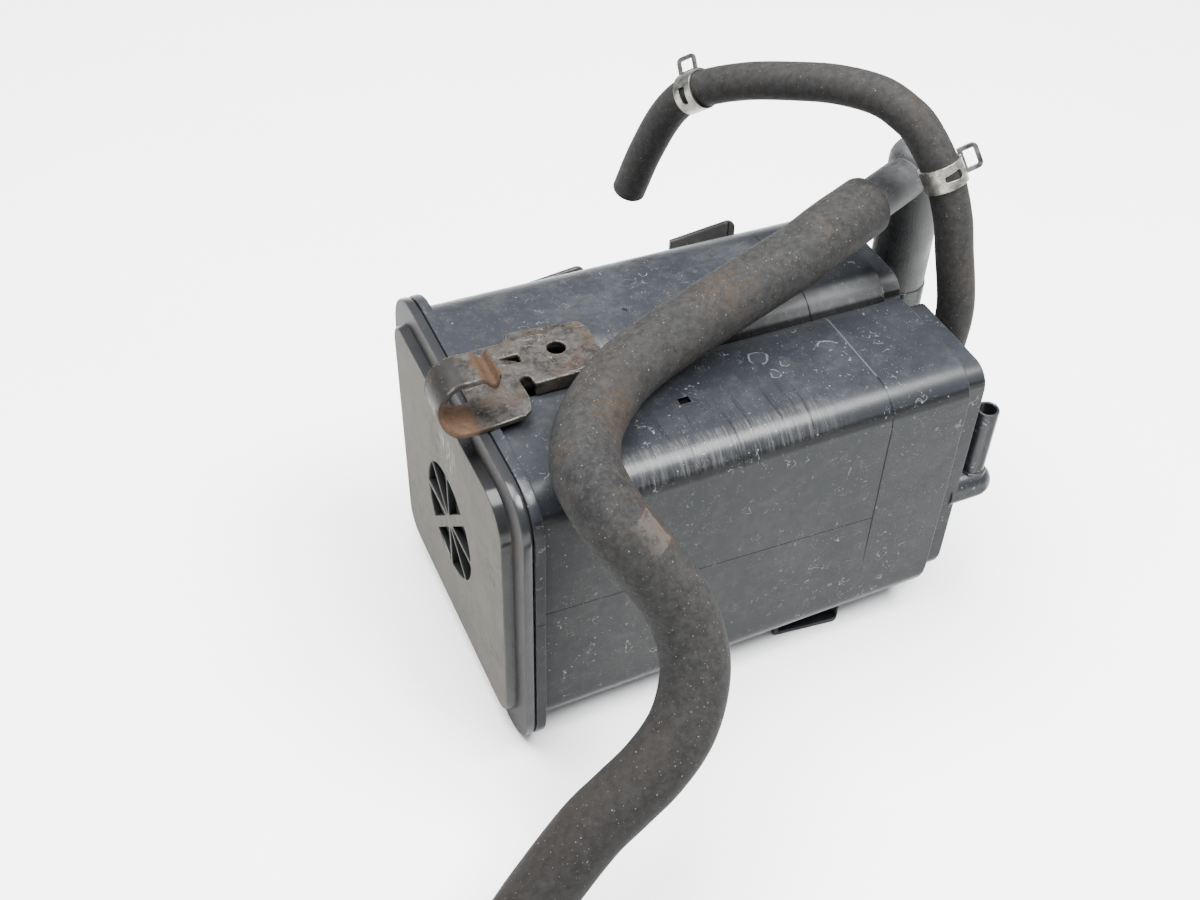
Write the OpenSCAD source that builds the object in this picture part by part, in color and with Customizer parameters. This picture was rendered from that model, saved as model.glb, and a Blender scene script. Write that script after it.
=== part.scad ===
// Charcoal canister for fuel vapour: a two-lobed welded plastic case on its long side,
// cover to the front (-X), ports to the back (+X), far lobe towards +Y. Sizes in millimetres.

/* [Weld flange] */
// Width of the weld flange, across both lobes
flange_w = 136; // [126:1:150]
// Height of the weld flange
flange_h = 134; // [126:1:150]
// Corner radius of the weld flange at the near lobe's top and the far lobe's bottom
flange_r = 17; // [13:1:21]
// Corner radius of the weld flange at the near lobe's bottom
flange_near_low_r = 20; // [15:1:25]
// Corner radius of the weld flange at the far lobe's top
flange_far_top_r = 24; // [20:1:30]
// Thickness of the case's half of the flange
case_flange_t = 4; // [3:0.5:6]
// Thickness of the cover's half of the flange
cover_flange_t = 4; // [3:0.5:6]
// Lip of the flange beyond the case wall
flange_lip = 4; // [3:0.5:6]
// Depth of the shadow groove along the weld seam
seam_groove_d = 1; // [0.5:0.25:2]
// Width of the shadow groove along the weld seam
seam_groove_w = 0.8; // [0.4:0.2:1.6]

/* [Case] */
// Length from the weld seam to the shoulder of the port end
case_len = 174; // [160:1:190]
// Length of the stepped-in port end
step_len = 10; // [8:1:16]
// Inset of the stepped-in port end
step_inset = 4.5; // [3:0.5:7]
// Wall thickness of the case and the cover
wall = 2.8; // [2:0.2:3.6]
// Lean of each side per 100 mm of length, for release from the mould
draft = 1; // [0:0.1:1.6]
// Corner radius of the near lobe, top outside
near_top_r = 13.5; // [10:0.5:18]
// Corner radius of the near lobe, bottom outside
near_low_r = 21; // [16:0.5:26]
// Corner radius of the far lobe, top outside
far_top_r = 23; // [18:0.5:30]
// Corner radius of the far lobe, bottom outside
far_low_r = 21; // [16:0.5:26]
// Corner radius of the near lobe at the valley
near_valley_r = 8; // [6:0.5:11]
// Corner radius of the far lobe at the valley
far_valley_r = 14; // [10:0.5:18]
// Distance of the valley's middle from the centre plane, towards the near lobe
valley_offset = 5.5; // [3:0.5:9]
// Width of the valley at its floor
valley_w = 3.6; // [3:0.2:5]
// Depth of the valley
valley_d = 22; // [18:1:30]

/* [Ports] */
// Height of the two elbow nipples' sockets above the ground
port_z = 58.5; // [54:0.5:66]
// Distance of the nipples' axes from the port end's face
nipple_out = 10; // [9.5:0.5:12]
// Distance of the open nipple from the near side of the flange
open_nipple_in = 16.3; // [14:0.1:19]
// Distance of the hose's nipple from the near side of the flange
hose_nipple_in = 48; // [44:1:52]
// Outside diameter of the nipples
nipple_d = 9; // [8:0.2:10]
// Bore of the nipples
nipple_bore = 6.5; // [5:0.1:7]
// Diameter of the round-ended feet under the nipples
elbow_d = 14.6; // [13:0.2:16]
// Reach of the feet's round ends past the nipples' axes
elbow_past = 1.5; // [0:0.25:3]
// Width of the hose stops round the nipples' feet
stop_w = 0.8; // [0.5:0.1:1.5]
// Height of the nipples' mouths above their elbows
nipple_h = 38.8; // [34:0.1:42]

/* [Vent pipe] */
// Distance of the vent pipe's axis from the port end's face
riser_out = 14.75; // [14:0.25:17]
// Distance of the vent pipe's axis from the centre plane
riser_y = 25; // [22:0.5:30]
// Outside diameter of the vent pipe
riser_d = 23.5; // [22:0.25:25]
// Outside diameter of the case's socket
socket_d = 24.5; // [24:0.25:26]
// Height of the socket's rim
socket_top = 105; // [98:1:112]
// Height of the domed bottom of the socket's elbow
socket_low = 70; // [66:1:76]
// Top of the vent pipe's dome
riser_top = 169.5; // [166:0.5:174]
// Radius of the dome's edge
dome_r = 8; // [5:0.5:10]
// Height of the branch nipple's axis
branch_z = 157.5; // [156:0.25:159]
// Turn of the branch nipple towards the near side
branch_turn = 23.6; // [20:0.2:27]
// Outside diameter of the branch nipple
branch_d = 17.2; // [16:0.1:18]
// Bore of the branch nipple
branch_bore = 13; // [11:0.1:14]
// Reach of the branch nipple from the vent pipe's axis
branch_len = 58; // [50:1:64]
// Outside diameter of the spigot in the socket
spigot_d = 17.4; // [16.4:0.2:18]
// Length of the spigot in the socket
spigot_len = 16; // [12:1:18]
// Thickness of the seal ring's section
seal_t = 1.6; // [1.2:0.1:2]

/* [Cover] */
// Ledge of the flange around the raised panel
panel_ledge = 10.7; // [9:0.1:13]
// How far the raised panel stands proud of the flange
panel_proud = 3.9; // [3:0.1:6]
// Lean of the raised panel's sides
panel_lean = 0.7; // [0:0.1:1.2]
// Corner radius of the raised panel
panel_r = 10; // [7:0.5:13]
// Corner radius of the raised panel at the far lobe's top
panel_far_top_r = 15; // [10:0.5:18]
// Diameter of the round grille
grille_d = 47; // [40:1:50]
// Offset of the grille from the centre plane
grille_y = 1; // [-2:0.5:3]
// Offset of the grille below half height
grille_down = 2; // [-1:0.5:5]
// Width of the grille's thin bars
bar_w = 1.6; // [1.2:0.1:2.4]
// Width of the grille's broad bar
broad_bar_w = 4.5; // [3:0.25:6]
// Diameter of the grille's hub
hub_d = 6.5; // [5:0.5:9]

/* [Lugs] */
// Wall thickness of the pocket lugs
lug_t = 2; // [1.5:0.25:3]
// Slope of the lugs' open edges
lug_slope = 5.5; // [2:0.5:8]
// Start of the upper lug, from the weld seam
upper_lug_x = 114; // [106:1:120]
// Length of the upper lug and of the base lug
upper_lug_len = 30; // [24:1:34]
// Height of the upper lug's open edge above half height
upper_lug_z = 51; // [46:1:54]
// Start of the lower lug, from the weld seam
lower_lug_x = 50.5; // [44:0.5:56]
// Length of the lower lug
lower_lug_len = 25.5; // [20:0.5:30]
// Height of the lower lug's open edge above half height
lower_lug_z = 47; // [42:1:50]
// Depth of the side lugs' pockets
side_lug_d = 20; // [16:1:26]
// How far the side lugs' end walls stay below the open edge
lug_wall_drop = 11; // [8:0.5:14]
// Depth of the base lug's pocket
base_lug_d = 36; // [30:1:40]

/* [Clip bracket] */
// Thickness of the steel
steel_t = 2; // [1.5:0.25:2.5]
// Diameter of the bolt hole
bolt_hole_d = 7; // [6:0.25:9]
// Bolt hole's distance behind the weld seam
bolt_hole_x = 36.7; // [34:0.1:39]
// Bolt hole's distance from the centre plane
bolt_hole_y = 2.4; // [0:0.1:4]
// Reach of the hook in front of the weld seam
hook_reach = 17; // [15:0.5:19]
// Inside radius of the hook
hook_r = 8.3; // [7.5:0.1:9.5]
// Width of the hook's strip
hook_w = 15; // [13:0.5:17]
// How far the hook's top leans to the far side
hook_lean = 4.3; // [3:0.1:5.5]
// Length of the hook's straight top
hook_top_len = 6.2; // [5:0.2:8]
// Depth of the dent in the hook's end
hook_dent = 2.9; // [2.4:0.1:4]
// Length of the dent's fall
dent_fall = 4.3; // [3.5:0.1:5]
// Length of the rise to the flared end
dent_rise = 2.7; // [2.2:0.1:3.5]

/* [Hoses] */
// Outside diameter of the wide hose
wide_hose_d = 23.5; // [22.6:0.1:24]
// Outside diameter of the thin hose
thin_hose_d = 14.4; // [13:0.1:15]
// Width of the band clamps
clamp_w = 9; // [7:0.5:11]
// Thickness of the band clamps
clamp_t = 0.9; // [0.7:0.1:1.2]
// Reach of the clamps' ears
clamp_ear = 7; // [6:0.5:10]
// Length of the clamps' ears along the hose
clamp_ear_len = 10; // [8:0.5:12]

/* [Filling] */
// Thickness of the felt pads
felt_t = 5; // [3:0.5:8]
// Thickness of the pressure plates
plate_t = 3; // [2:0.25:4]
// Diameter of the pressure plates' holes
plate_hole_d = 5; // [3:0.5:6]
// Pitch of the pressure plates' holes
plate_pitch = 12; // [11:0.5:14]
// Length of the springs in place
spring_len = 30; // [26:1:36]
// Outside diameter of the springs
spring_d = 23.6; // [20:0.2:24]
// Thickness of the spring wire
wire_d = 1.6; // [1.2:0.1:2.2]
// Height of the springs above and below half height
spring_z = 30; // [27:0.5:33]

/* [Hidden] */
$fn = 48;
overlap = 1;
seat_gap = 0.1;
side_gap = 0.3;
hose_gap = 0.15;
clamp_gap = 0.5;
stop_rise = 0.4;
arc_steps = 7;
least_r = 1.5;
hose_sides = 12;
wire_sides = 6;
spring_turns = 5;
turn_steps = 14;
route_steps = 2;

// Frame: middle of the length between the hook's front and the socket's back
end_x = case_len + step_len;
riser_x = end_x + riser_out;
seam_x = (hook_reach - riser_x - socket_d / 2) / 2;
half_y = flange_w / 2 - flange_lip;
half_z = flange_h / 2 - flange_lip;
near_wall = -valley_offset - valley_w / 2;
far_wall = -valley_offset + valley_w / 2;
near_mid = (near_wall - half_y) / 2;
far_mid = (far_wall + half_y) / 2;
near_radii = [near_low_r, near_valley_r, near_valley_r, near_top_r];
far_radii = [far_valley_r, far_low_r, far_top_r, far_valley_r];
flange_radii = [flange_near_low_r, flange_r, flange_far_top_r, flange_r];
panel_radii = [panel_r, panel_r, panel_far_top_r, panel_r];

// Moulded recess on the near lobe and pin mark on the far lobe
recess = [4.3, 3, 1.2];
recess_at = [70.2, -34];
pin_mark_d = 2.2;
pin_mark_at = [71.7, 20.3];

// Base lug, from the weld seam and from the near lobe's side
base_lug_x = upper_lug_x - 3;
base_lug_in = 11;

// Ports
nipple_x = end_x + nipple_out;
open_nipple_y = open_nipple_in - flange_w / 2;
hose_nipple_y = hose_nipple_in - flange_w / 2;
nipple_top = port_z + nipple_h;

// Vent pipe and its socket
spigot_bore_d = 12.6;
socket_bore_d = spigot_d + 2 * side_gap;
socket_port_z = socket_low + socket_d / 2;
socket_port_d = socket_d - 4;
socket_round = 9;
seal_z = socket_top - spigot_len / 2;
seal_gap = 0.15;
groove_r = socket_bore_d / 2 - seal_t - 2 * seal_gap;
groove_w = seal_t + 0.6;
riser_bore_d = riser_d - 6;
riser_bore_top = riser_top - 3;

// Cover
panel_in_x = -(cover_flange_t + panel_proud - wall);
foam_d = grille_d + 4;
foam_wall = 1.6;
spring_seat_d = spring_d - 2 * wire_d - 3;
spring_seat_h = 5;

// Filling, from the cover to the port end
plate_x = panel_in_x + spring_len + 2 * seat_gap;
cover_felt_x = plate_x + plate_t + seat_gap;
bed_x = cover_felt_x + felt_t + seat_gap;
shoulder_in = case_len - wall;
port_felt_x = shoulder_in - seat_gap - felt_t;
bed_end = port_felt_x - seat_gap;

// Clip bracket, seen from above: along the case and across it, from the weld seam
plate_front = -2;
hook_y0 = -28;
hook_x = hook_r + steel_t - hook_reach;
hook_z = flange_h + steel_t + hook_r;
hook_top = hook_z + hook_r + steel_t;
notch_r = 2.1;
notch_at = [20.3, -9.8];
slot_x = [15, 22.5];
slot_y = [0, 4.3];
tongue_drop = 3;
pad_len = 2.5;
dent_end = 0.6;
flare_round = 3;
bend = [hook_x + hook_top_len, hook_top];
valley = bend + [dent_fall, -hook_dent];
flare = valley + [dent_rise, hook_dent - dent_end];
leg_x = [23, 40];
leg_y = [-12.8, -10.8];
bracket_back = 14.8;
bracket_outline = [
    [plate_front, 12],
    [19, 12],
    [21.5, 13.4],
    [22, 15.6],
    [23.6, 16.6],
    [bolt_hole_x + bracket_back - 1.8, 13.4],
    [bolt_hole_x + bracket_back, 8.5],
    [bolt_hole_x + bracket_back, -8],
    [bolt_hole_x + bracket_back - 3, -11],
    [leg_x[0], leg_y[0]],
    [notch_at[0], leg_y[0]],
    [17.4, -21.5],
    [16.4, -24.6],
    [13.5, -26.6],
    [plate_front, hook_y0],
    [hook_x, hook_y0],
    [hook_x, hook_y0 + hook_w],
    [plate_front, hook_y0 + hook_w]
];

// Hoses: middle lines in the part's own frame
wide_bore_r = (branch_d / 2 + hose_gap) / cos(180 / hose_sides);
thin_bore_r = (nipple_d / 2 + hose_gap) / cos(180 / hose_sides);
wide_route = [
    [69.2, 10.8, 157.5],
    [59.6, 6.6, 157.5],
    [48.6, 1.8, 157.5],
    [32, -4.2, 155],
    [10, -9.6, 151.5],
    [-10, -14, 147.5],
    [-31, -19.5, 144],
    [-47, -26.5, 142.5],
    [-60, -36.5, 142],
    [-70, -48, 142],
    [-76.5, -61, 142],
    [-78, -72, 140.5],
    [-75, -83.5, 134],
    [-67, -92.5, 121],
    [-60, -101, 107],
    [-58, -110, 93],
    [-61, -117, 82],
    [-68.5, -124, 72.5],
    [-80, -129, 64.5],
    [-93, -132, 57.5],
    [-106, -135, 50.5],
    [-126, -142, 36],
    [-146, -150, 21],
    [-168, -157, 13],
    [-190, -162, 12]
];
thin_route = [
    [97, -20, 75],
    [97, -20, 101],
    [97, -20, 124],
    [94.2, -15.2, 148],
    [92.4, -12, 162],
    [89, -6, 177],
    [83.5, 3.5, 190.5],
    [79.5, 10.5, 195.5],
    [74, 20, 198.5],
    [66, 34, 197],
    [57.5, 48.5, 192.5],
    [45.5, 69, 184],
    [35, 87.5, 172],
    [29, 98, 158],
    [24, 107, 135.5],
    [20, 113.5, 113]
];
lower_clamp_at = 5;
upper_clamp_at = 12;
lower_clamp_turn = 222;
upper_clamp_turn = 205;
ear_shift = 2;

case_color = [0.13, 0.14, 0.15];
cover_color = [0.33, 0.33, 0.32];
pipe_color = [0.16, 0.17, 0.18];
hose_color = [0.2, 0.18, 0.17];
steel_color = [0.42, 0.33, 0.27];
zinc_color = [0.7, 0.69, 0.64];
seal_color = [0.08, 0.08, 0.08];
carbon_color = [0.05, 0.05, 0.05];
felt_color = [0.75, 0.74, 0.7];
plate_color = [0.85, 0.84, 0.8];
foam_color = [0.3, 0.3, 0.32];

// Scale of the drafted outline at a distance behind the weld seam
function shrink(x) = 1 - draft * x / 100 / half_z;

// Height of the lobes' tops at a distance behind the weld seam
function top_z(x) = flange_h / 2 + half_z * shrink(x);

function arc_pts(c, r, a0, a1) = [
    for (i = [0:arc_steps])
        c + r * [cos(a0 + (a1 - a0) * i / arc_steps), sin(a0 + (a1 - a0) * i / arc_steps)]
];

// Points of a soft rise or fall after its start
function wave_pts(start, end) = [
    for (i = [1:arc_steps]) [
        start[0] + (end[0] - start[0]) * i / arc_steps,
        start[1] + (end[1] - start[1]) * (1 - cos(180 * i / arc_steps)) / 2
    ]
];

function inset_r(r, inset) = max(r - inset, least_r);

// Rectangle with four corner radii: low near, low far, high far, high near
function outline(y0, y1, z0, z1, r, inset) =
    let (a = y0 + inset, b = y1 - inset, c = z0 + inset, d = z1 - inset)
    let (r0 = inset_r(r[0], inset), r1 = inset_r(r[1], inset))
    let (r2 = inset_r(r[2], inset), r3 = inset_r(r[3], inset))
    concat(
        arc_pts([a + r0, c + r0], r0, 180, 270),
        arc_pts([b - r1, c + r1], r1, 270, 360),
        arc_pts([b - r2, d - r2], r2, 0, 90),
        arc_pts([a + r3, d - r3], r3, 90, 180)
    );

function unit(v) = v / norm(v);

// Smooth curve through a list of points
function blend(p0, p1, p2, p3, t) =
    0.5 * (2 * p1 + (p2 - p0) * t + (2 * p0 - 5 * p1 + 4 * p2 - p3) * t * t
    + (3 * p1 - p0 - 3 * p2 + p3) * t * t * t);

function smooth(p) =
    let (n = len(p) - 1)
    concat(
        [
            for (i = [0:n - 1])
                for (k = [0:route_steps - 1])
                    blend(p[max(i - 1, 0)], p[i], p[i + 1], p[min(i + 2, n)], k / route_steps)
        ],
        [p[n]]
    );

function heading(p, i) = unit(p[min(i + 1, len(p) - 1)] - p[max(i - 1, 0)]);

// Direction across the path, carried along it without twist
function across(p) =
    let (n = len(p))
    [
        for (
            i = 0, u = unit(cross(heading(p, 0), [0.3, 0.9, 0.2]));
            i < n;
            i = i + 1, u = unit(u - (u * heading(p, min(i, n - 1))) * heading(p, min(i, n - 1)))
        ) u
    ];

function rings(p, r, sides) =
    let (u = across(p))
    [
        for (i = [0:len(p) - 1])
            for (j = [0:sides - 1])
                let (v = cross(heading(p, i), u[i]))
                p[i] + r * (cos(360 * j / sides) * u[i] + sin(360 * j / sides) * v)
    ];

function skin(n, sides, from, flip) = [
    for (i = [0:n - 2])
        for (j = [0:sides - 1])
            let (a = from + i * sides + j, b = from + i * sides + (j + 1) % sides)
            let (c = b + sides, d = a + sides)
            for (f = flip ? [[a, c, d], [a, b, c]] : [[a, d, c], [a, c, b]])
                f
];

// Open end of a tube, between its outer and inner rings
function rim(outer, inner, sides, flip) = [
    for (j = [0:sides - 1])
        let (k = (j + 1) % sides)
        let (a = outer + j, b = outer + k, c = inner + k, d = inner + j)
        for (f = flip ? [[a, c, b], [a, d, c]] : [[a, b, c], [a, c, d]])
            f
];

module tube_along(route, r, bore_r) {
    p = smooth(route);
    n = len(p);
    s = hose_sides;
    inner = n * s;
    polyhedron(
        points = concat(rings(p, r, s), rings(p, bore_r, s)),
        faces = concat(
            skin(n, s, 0, false),
            skin(n, s, inner, true),
            rim(0, inner, s, false),
            rim((n - 1) * s, inner + (n - 1) * s, s, true)
        )
    );
}

// Flat outline (across, up) made into a plate between two distances behind the weld seam
module along_case(x0, x1) {
    translate([seam_x + x0, 0, flange_h / 2])
        rotate([90, 0, 90])
            linear_extrude(height = x1 - x0)
                children();
}

// The same with the sides leaning in towards the port end
module drafted(x0, x1) {
    translate([seam_x + x0, 0, flange_h / 2])
        rotate([90, 0, 90])
            linear_extrude(height = x1 - x0, scale = shrink(x1) / shrink(x0))
                scale(shrink(x0))
                    children();
}

module near_lobe(inset) {
    polygon(outline(-half_y, near_wall, -half_z, half_z, near_radii, inset));
}

module far_lobe(inset) {
    polygon(outline(far_wall, half_y, -half_z, half_z, far_radii, inset));
}

module both_lobes(inset) {
    near_lobe(inset);
    far_lobe(inset);
    translate([near_wall - inset - overlap, valley_d - half_z + inset])
        square([valley_w + 2 * inset + 2 * overlap, 2 * (half_z - valley_d - inset)]);
}

// A chamber runs up to the partition below the valley
module near_chamber(gap) {
    near_lobe(wall + gap);
    translate([near_wall - wall - gap - overlap, valley_d - half_z + wall + gap])
        square([valley_w / 2 + wall / 2 + overlap, 2 * (half_z - valley_d - wall - gap)]);
}

module far_chamber(gap) {
    far_lobe(wall + gap);
    translate([far_wall - valley_w / 2 + wall / 2 + gap, valley_d - half_z + wall + gap])
        square([valley_w / 2 + wall / 2 + overlap, 2 * (half_z - valley_d - wall - gap)]);
}

module flange_shape(inset) {
    polygon(outline(-flange_w / 2, flange_w / 2, -flange_h / 2, flange_h / 2, flange_radii, inset));
}

module panel_shape(inset) {
    polygon(
        outline(
            panel_ledge - flange_w / 2, flange_w / 2 - panel_ledge,
            panel_ledge - flange_h / 2, flange_h / 2 - panel_ledge,
            panel_radii, inset
        )
    );
}

module port_elbow(y) {
    r = elbow_d / 2;
    foot = wall + nipple_out + elbow_past;
    translate([seam_x + nipple_x, y, port_z])
        cylinder(d = nipple_d, h = nipple_h);
    translate([seam_x + nipple_x, y, port_z])
        cylinder(d = nipple_d + 2 * stop_w, h = r + stop_rise);
    translate([seam_x + end_x - wall, y, port_z])
        rotate([0, 90, 0])
            rotate_extrude()
                polygon(concat([[0, 0], [r, 0]], arc_pts([0, foot], r, 0, 90)));
}

module port_bore(y) {
    translate([seam_x + nipple_x, y, port_z])
        cylinder(d = nipple_bore, h = nipple_h + overlap);
    translate([seam_x + end_x - wall - overlap, y, port_z])
        rotate([0, 90, 0])
            cylinder(d = nipple_bore - 0.5, h = nipple_out + wall + overlap);
}

module vent_socket() {
    r = socket_d / 2;
    c = socket_round;
    translate([seam_x + riser_x, riser_y, 0])
        rotate_extrude()
            polygon(
                concat(
                    [[0, socket_low]],
                    arc_pts([r - c, socket_low + c], c, -90, 0),
                    [[r, socket_top], [0, socket_top]]
                )
            );
    translate([seam_x + end_x - wall, riser_y, socket_port_z])
        rotate([0, 90, 0])
            cylinder(d = socket_port_d, h = riser_out + wall);
}

module vent_socket_bore() {
    translate([seam_x + riser_x, riser_y, socket_port_z])
        cylinder(d = socket_bore_d, h = socket_top - socket_port_z + overlap);
    translate([seam_x + end_x - wall - overlap, riser_y, socket_port_z])
        rotate([0, 90, 0])
            cylinder(d = spigot_bore_d, h = riser_out + wall + overlap);
}

// Pocket on a wall that faces +Y, open upwards, its edge rising towards the port end
module pocket_lug(x, length, edge_z, depth, outer, inner, wall_drop) {
    rise = length * tan(lug_slope);
    shape = concat(
        [[0, -depth], [length, -depth]],
        arc_pts([length - 2 * lug_t, rise - 2 * lug_t], 2 * lug_t, 0, 90),
        [[0, 0]]
    );
    translate([seam_x + x, 0, edge_z]) {
        translate([0, outer, 0])
            rotate([90, 0, 0])
                linear_extrude(height = lug_t)
                    polygon(shape);
        for (rib_x = [0, length - lug_t])
            translate([0, outer, 0])
                rotate([90, 0, 0])
                    linear_extrude(height = outer - inner)
                        intersection() {
                            polygon(shape);
                            translate([rib_x, -depth])
                                square([lug_t, depth + rise - wall_drop]);
                        }
        translate([0, inner, -depth])
            cube([length, outer - inner, lug_t]);
    }
}

module side_lugs() {
    inner = half_y - far_top_r;
    mid = flange_h / 2;
    y = flange_w / 2;
    pocket_lug(upper_lug_x, upper_lug_len, mid + upper_lug_z, side_lug_d, y, inner, lug_wall_drop);
    pocket_lug(lower_lug_x, lower_lug_len, mid + lower_lug_z, side_lug_d, y, inner, lug_wall_drop);
}

// The same pocket under the base, open towards the near side
module base_lug() {
    inner = -flange_lip - near_low_r / 2;
    mirror([0, 1, 0])
        rotate([-90, 0, 0])
            pocket_lug(base_lug_x, upper_lug_len, half_y - base_lug_in, base_lug_d, 0, inner, 0);
}

// Pad that carries the end of the clip bracket's lanced tongue
module tongue_pad() {
    low = top_z(0) - 2 * wall;
    translate([seam_x + slot_x[1] - pad_len, slot_y[0], low])
        cube([pad_len, slot_y[1] - slot_y[0], flange_h - tongue_drop - seat_gap - low]);
}

module case_body() {
    color(case_color)
        difference() {
            union() {
                along_case(0, case_flange_t)
                    flange_shape(0);
                drafted(case_flange_t / 2, case_len)
                    both_lobes(0);
                drafted(case_len - overlap, end_x)
                    both_lobes(step_inset);
                port_elbow(open_nipple_y);
                port_elbow(hose_nipple_y);
                vent_socket();
                side_lugs();
                base_lug();
                tongue_pad();
            }
            drafted(-overlap, shoulder_in)
                near_chamber(0);
            drafted(-overlap, shoulder_in)
                far_chamber(0);
            drafted(shoulder_in - overlap, end_x - wall)
                near_lobe(step_inset + wall);
            drafted(shoulder_in - overlap, end_x - wall)
                far_lobe(step_inset + wall);
            port_bore(open_nipple_y);
            port_bore(hose_nipple_y);
            vent_socket_bore();
            translate([seam_x + recess_at[0], recess_at[1], top_z(recess_at[0])])
                cube([recess[0], recess[1], 2 * recess[2]], center = true);
            translate([seam_x + pin_mark_at[0], pin_mark_at[1], top_z(pin_mark_at[0]) - recess[2]])
                cylinder(d = pin_mark_d, h = 2 * recess[2]);
        }
}

module grille_gaps() {
    translate([grille_y, -grille_down])
        difference() {
            circle(d = grille_d);
            circle(d = hub_d);
            for (a = [0, 45, 90])
                rotate(a)
                    square([grille_d + overlap, bar_w], center = true);
            rotate(135)
                square([grille_d + overlap, broad_bar_w], center = true);
        }
}

module spring_seat(y, side) {
    translate([seam_x + panel_in_x - overlap, y, flange_h / 2 + side * spring_z])
        rotate([0, 90, 0])
            cylinder(d = spring_seat_d, h = spring_seat_h + overlap);
}

module end_cover() {
    front = cover_flange_t + panel_proud;
    half_panel = flange_h / 2 - panel_ledge;
    color(cover_color)
        union() {
            difference() {
                union() {
                    along_case(-cover_flange_t, -seam_groove_w)
                        flange_shape(0);
                    along_case(-cover_flange_t, 0)
                        flange_shape(seam_groove_d);
                    translate([seam_x - cover_flange_t + overlap, 0, flange_h / 2])
                        rotate([90, 0, -90])
                            linear_extrude(height = panel_proud + overlap, scale = 1 - panel_lean / half_panel)
                                panel_shape(0);
                }
                along_case(panel_in_x, overlap)
                    panel_shape(wall + panel_lean);
                along_case(-front - overlap, panel_in_x + overlap)
                    grille_gaps();
            }
            along_case(panel_in_x - overlap, -2 * seat_gap)
                translate([grille_y, -grille_down])
                    difference() {
                        circle(d = foam_d + 2 * side_gap + 2 * foam_wall);
                        circle(d = foam_d + 2 * side_gap);
                    }
            for (side = [-1, 1]) {
                spring_seat(near_mid, side);
                spring_seat(far_mid, side);
            }
        }
}

module vent_pipe() {
    r = riser_d / 2;
    color(pipe_color)
        difference() {
            union() {
                translate([seam_x + riser_x, riser_y, 0])
                    rotate_extrude()
                        polygon(
                            concat(
                                [[0, socket_top - spigot_len], [spigot_d / 2, socket_top - spigot_len]],
                                [[spigot_d / 2, seal_z - groove_w / 2], [groove_r, seal_z - groove_w / 2]],
                                [[groove_r, seal_z + groove_w / 2], [spigot_d / 2, seal_z + groove_w / 2]],
                                [[spigot_d / 2, socket_top], [r, socket_top]],
                                arc_pts([r - dome_r, riser_top - dome_r], dome_r, 0, 90),
                                [[0, riser_top]]
                            )
                        );
                translate([seam_x + riser_x, riser_y, branch_z])
                    rotate([0, 90, 180 + branch_turn])
                        cylinder(d = branch_d, h = branch_len);
            }
            translate([seam_x + riser_x, riser_y, socket_top - spigot_len - overlap])
                cylinder(d = spigot_bore_d, h = spigot_len + 2 * overlap);
            translate([seam_x + riser_x, riser_y, socket_top + wall])
                cylinder(d = riser_bore_d, h = riser_bore_top - socket_top - wall);
            translate([seam_x + riser_x, riser_y, socket_top])
                cylinder(d = spigot_bore_d, h = 2 * wall);
            translate([seam_x + riser_x, riser_y, branch_z])
                rotate([0, 90, 180 + branch_turn])
                    cylinder(d = branch_bore, h = branch_len + overlap);
        }
}

module vent_pipe_seal() {
    color(seal_color)
        translate([seam_x + riser_x, riser_y, seal_z])
            rotate_extrude()
                translate([groove_r + seal_gap + seal_t / 2, 0])
                    circle(d = seal_t);
}

module wide_hose() {
    color(hose_color)
        tube_along(wide_route, wide_hose_d / 2, wide_bore_r);
}

module thin_hose() {
    color(hose_color)
        tube_along(thin_route, thin_hose_d / 2, thin_bore_r);
}

// Band with a square wire ear, on a point of the thin hose
module band_clamp(i, turn) {
    dir = heading(thin_route, i);
    r = thin_hose_d / 2 + clamp_gap;
    translate(thin_route[i])
        rotate([0, acos(dir[2]), atan2(dir[1], dir[0])])
            rotate(turn) {
                rotate_extrude()
                    translate([r, -clamp_w / 2])
                        square([clamp_t, clamp_w]);
                translate([r + clamp_t / 2, -clamp_t / 2, ear_shift - clamp_ear_len / 2])
                    difference() {
                        cube([clamp_ear, clamp_t, clamp_ear_len]);
                        translate([clamp_t, -overlap, clamp_t])
                            cube([clamp_ear - 2 * clamp_t, clamp_t + 2 * overlap, clamp_ear_len - 2 * clamp_t]);
                    }
            }
}

module hose_clamp_lower() {
    color(zinc_color)
        band_clamp(lower_clamp_at, lower_clamp_turn);
}

module hose_clamp_upper() {
    color(zinc_color)
        band_clamp(upper_clamp_at, upper_clamp_turn);
}

module hook_profile() {
    translate([hook_x, hook_z])
        intersection() {
            difference() {
                circle(r = hook_r + steel_t);
                circle(r = hook_r);
            }
            translate([-2 * hook_r, -2 * hook_r])
                square([2 * hook_r, 4 * hook_r]);
        }
    arm = concat([[hook_x, hook_top], bend], wave_pts(bend, valley), wave_pts(valley, flare));
    polygon(concat(arm, [for (i = [len(arm) - 1:-1:0]) arm[i] - [0, steel_t]]));
    translate([hook_x, flange_h])
        square([hook_reach / 2, steel_t]);
}

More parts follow.
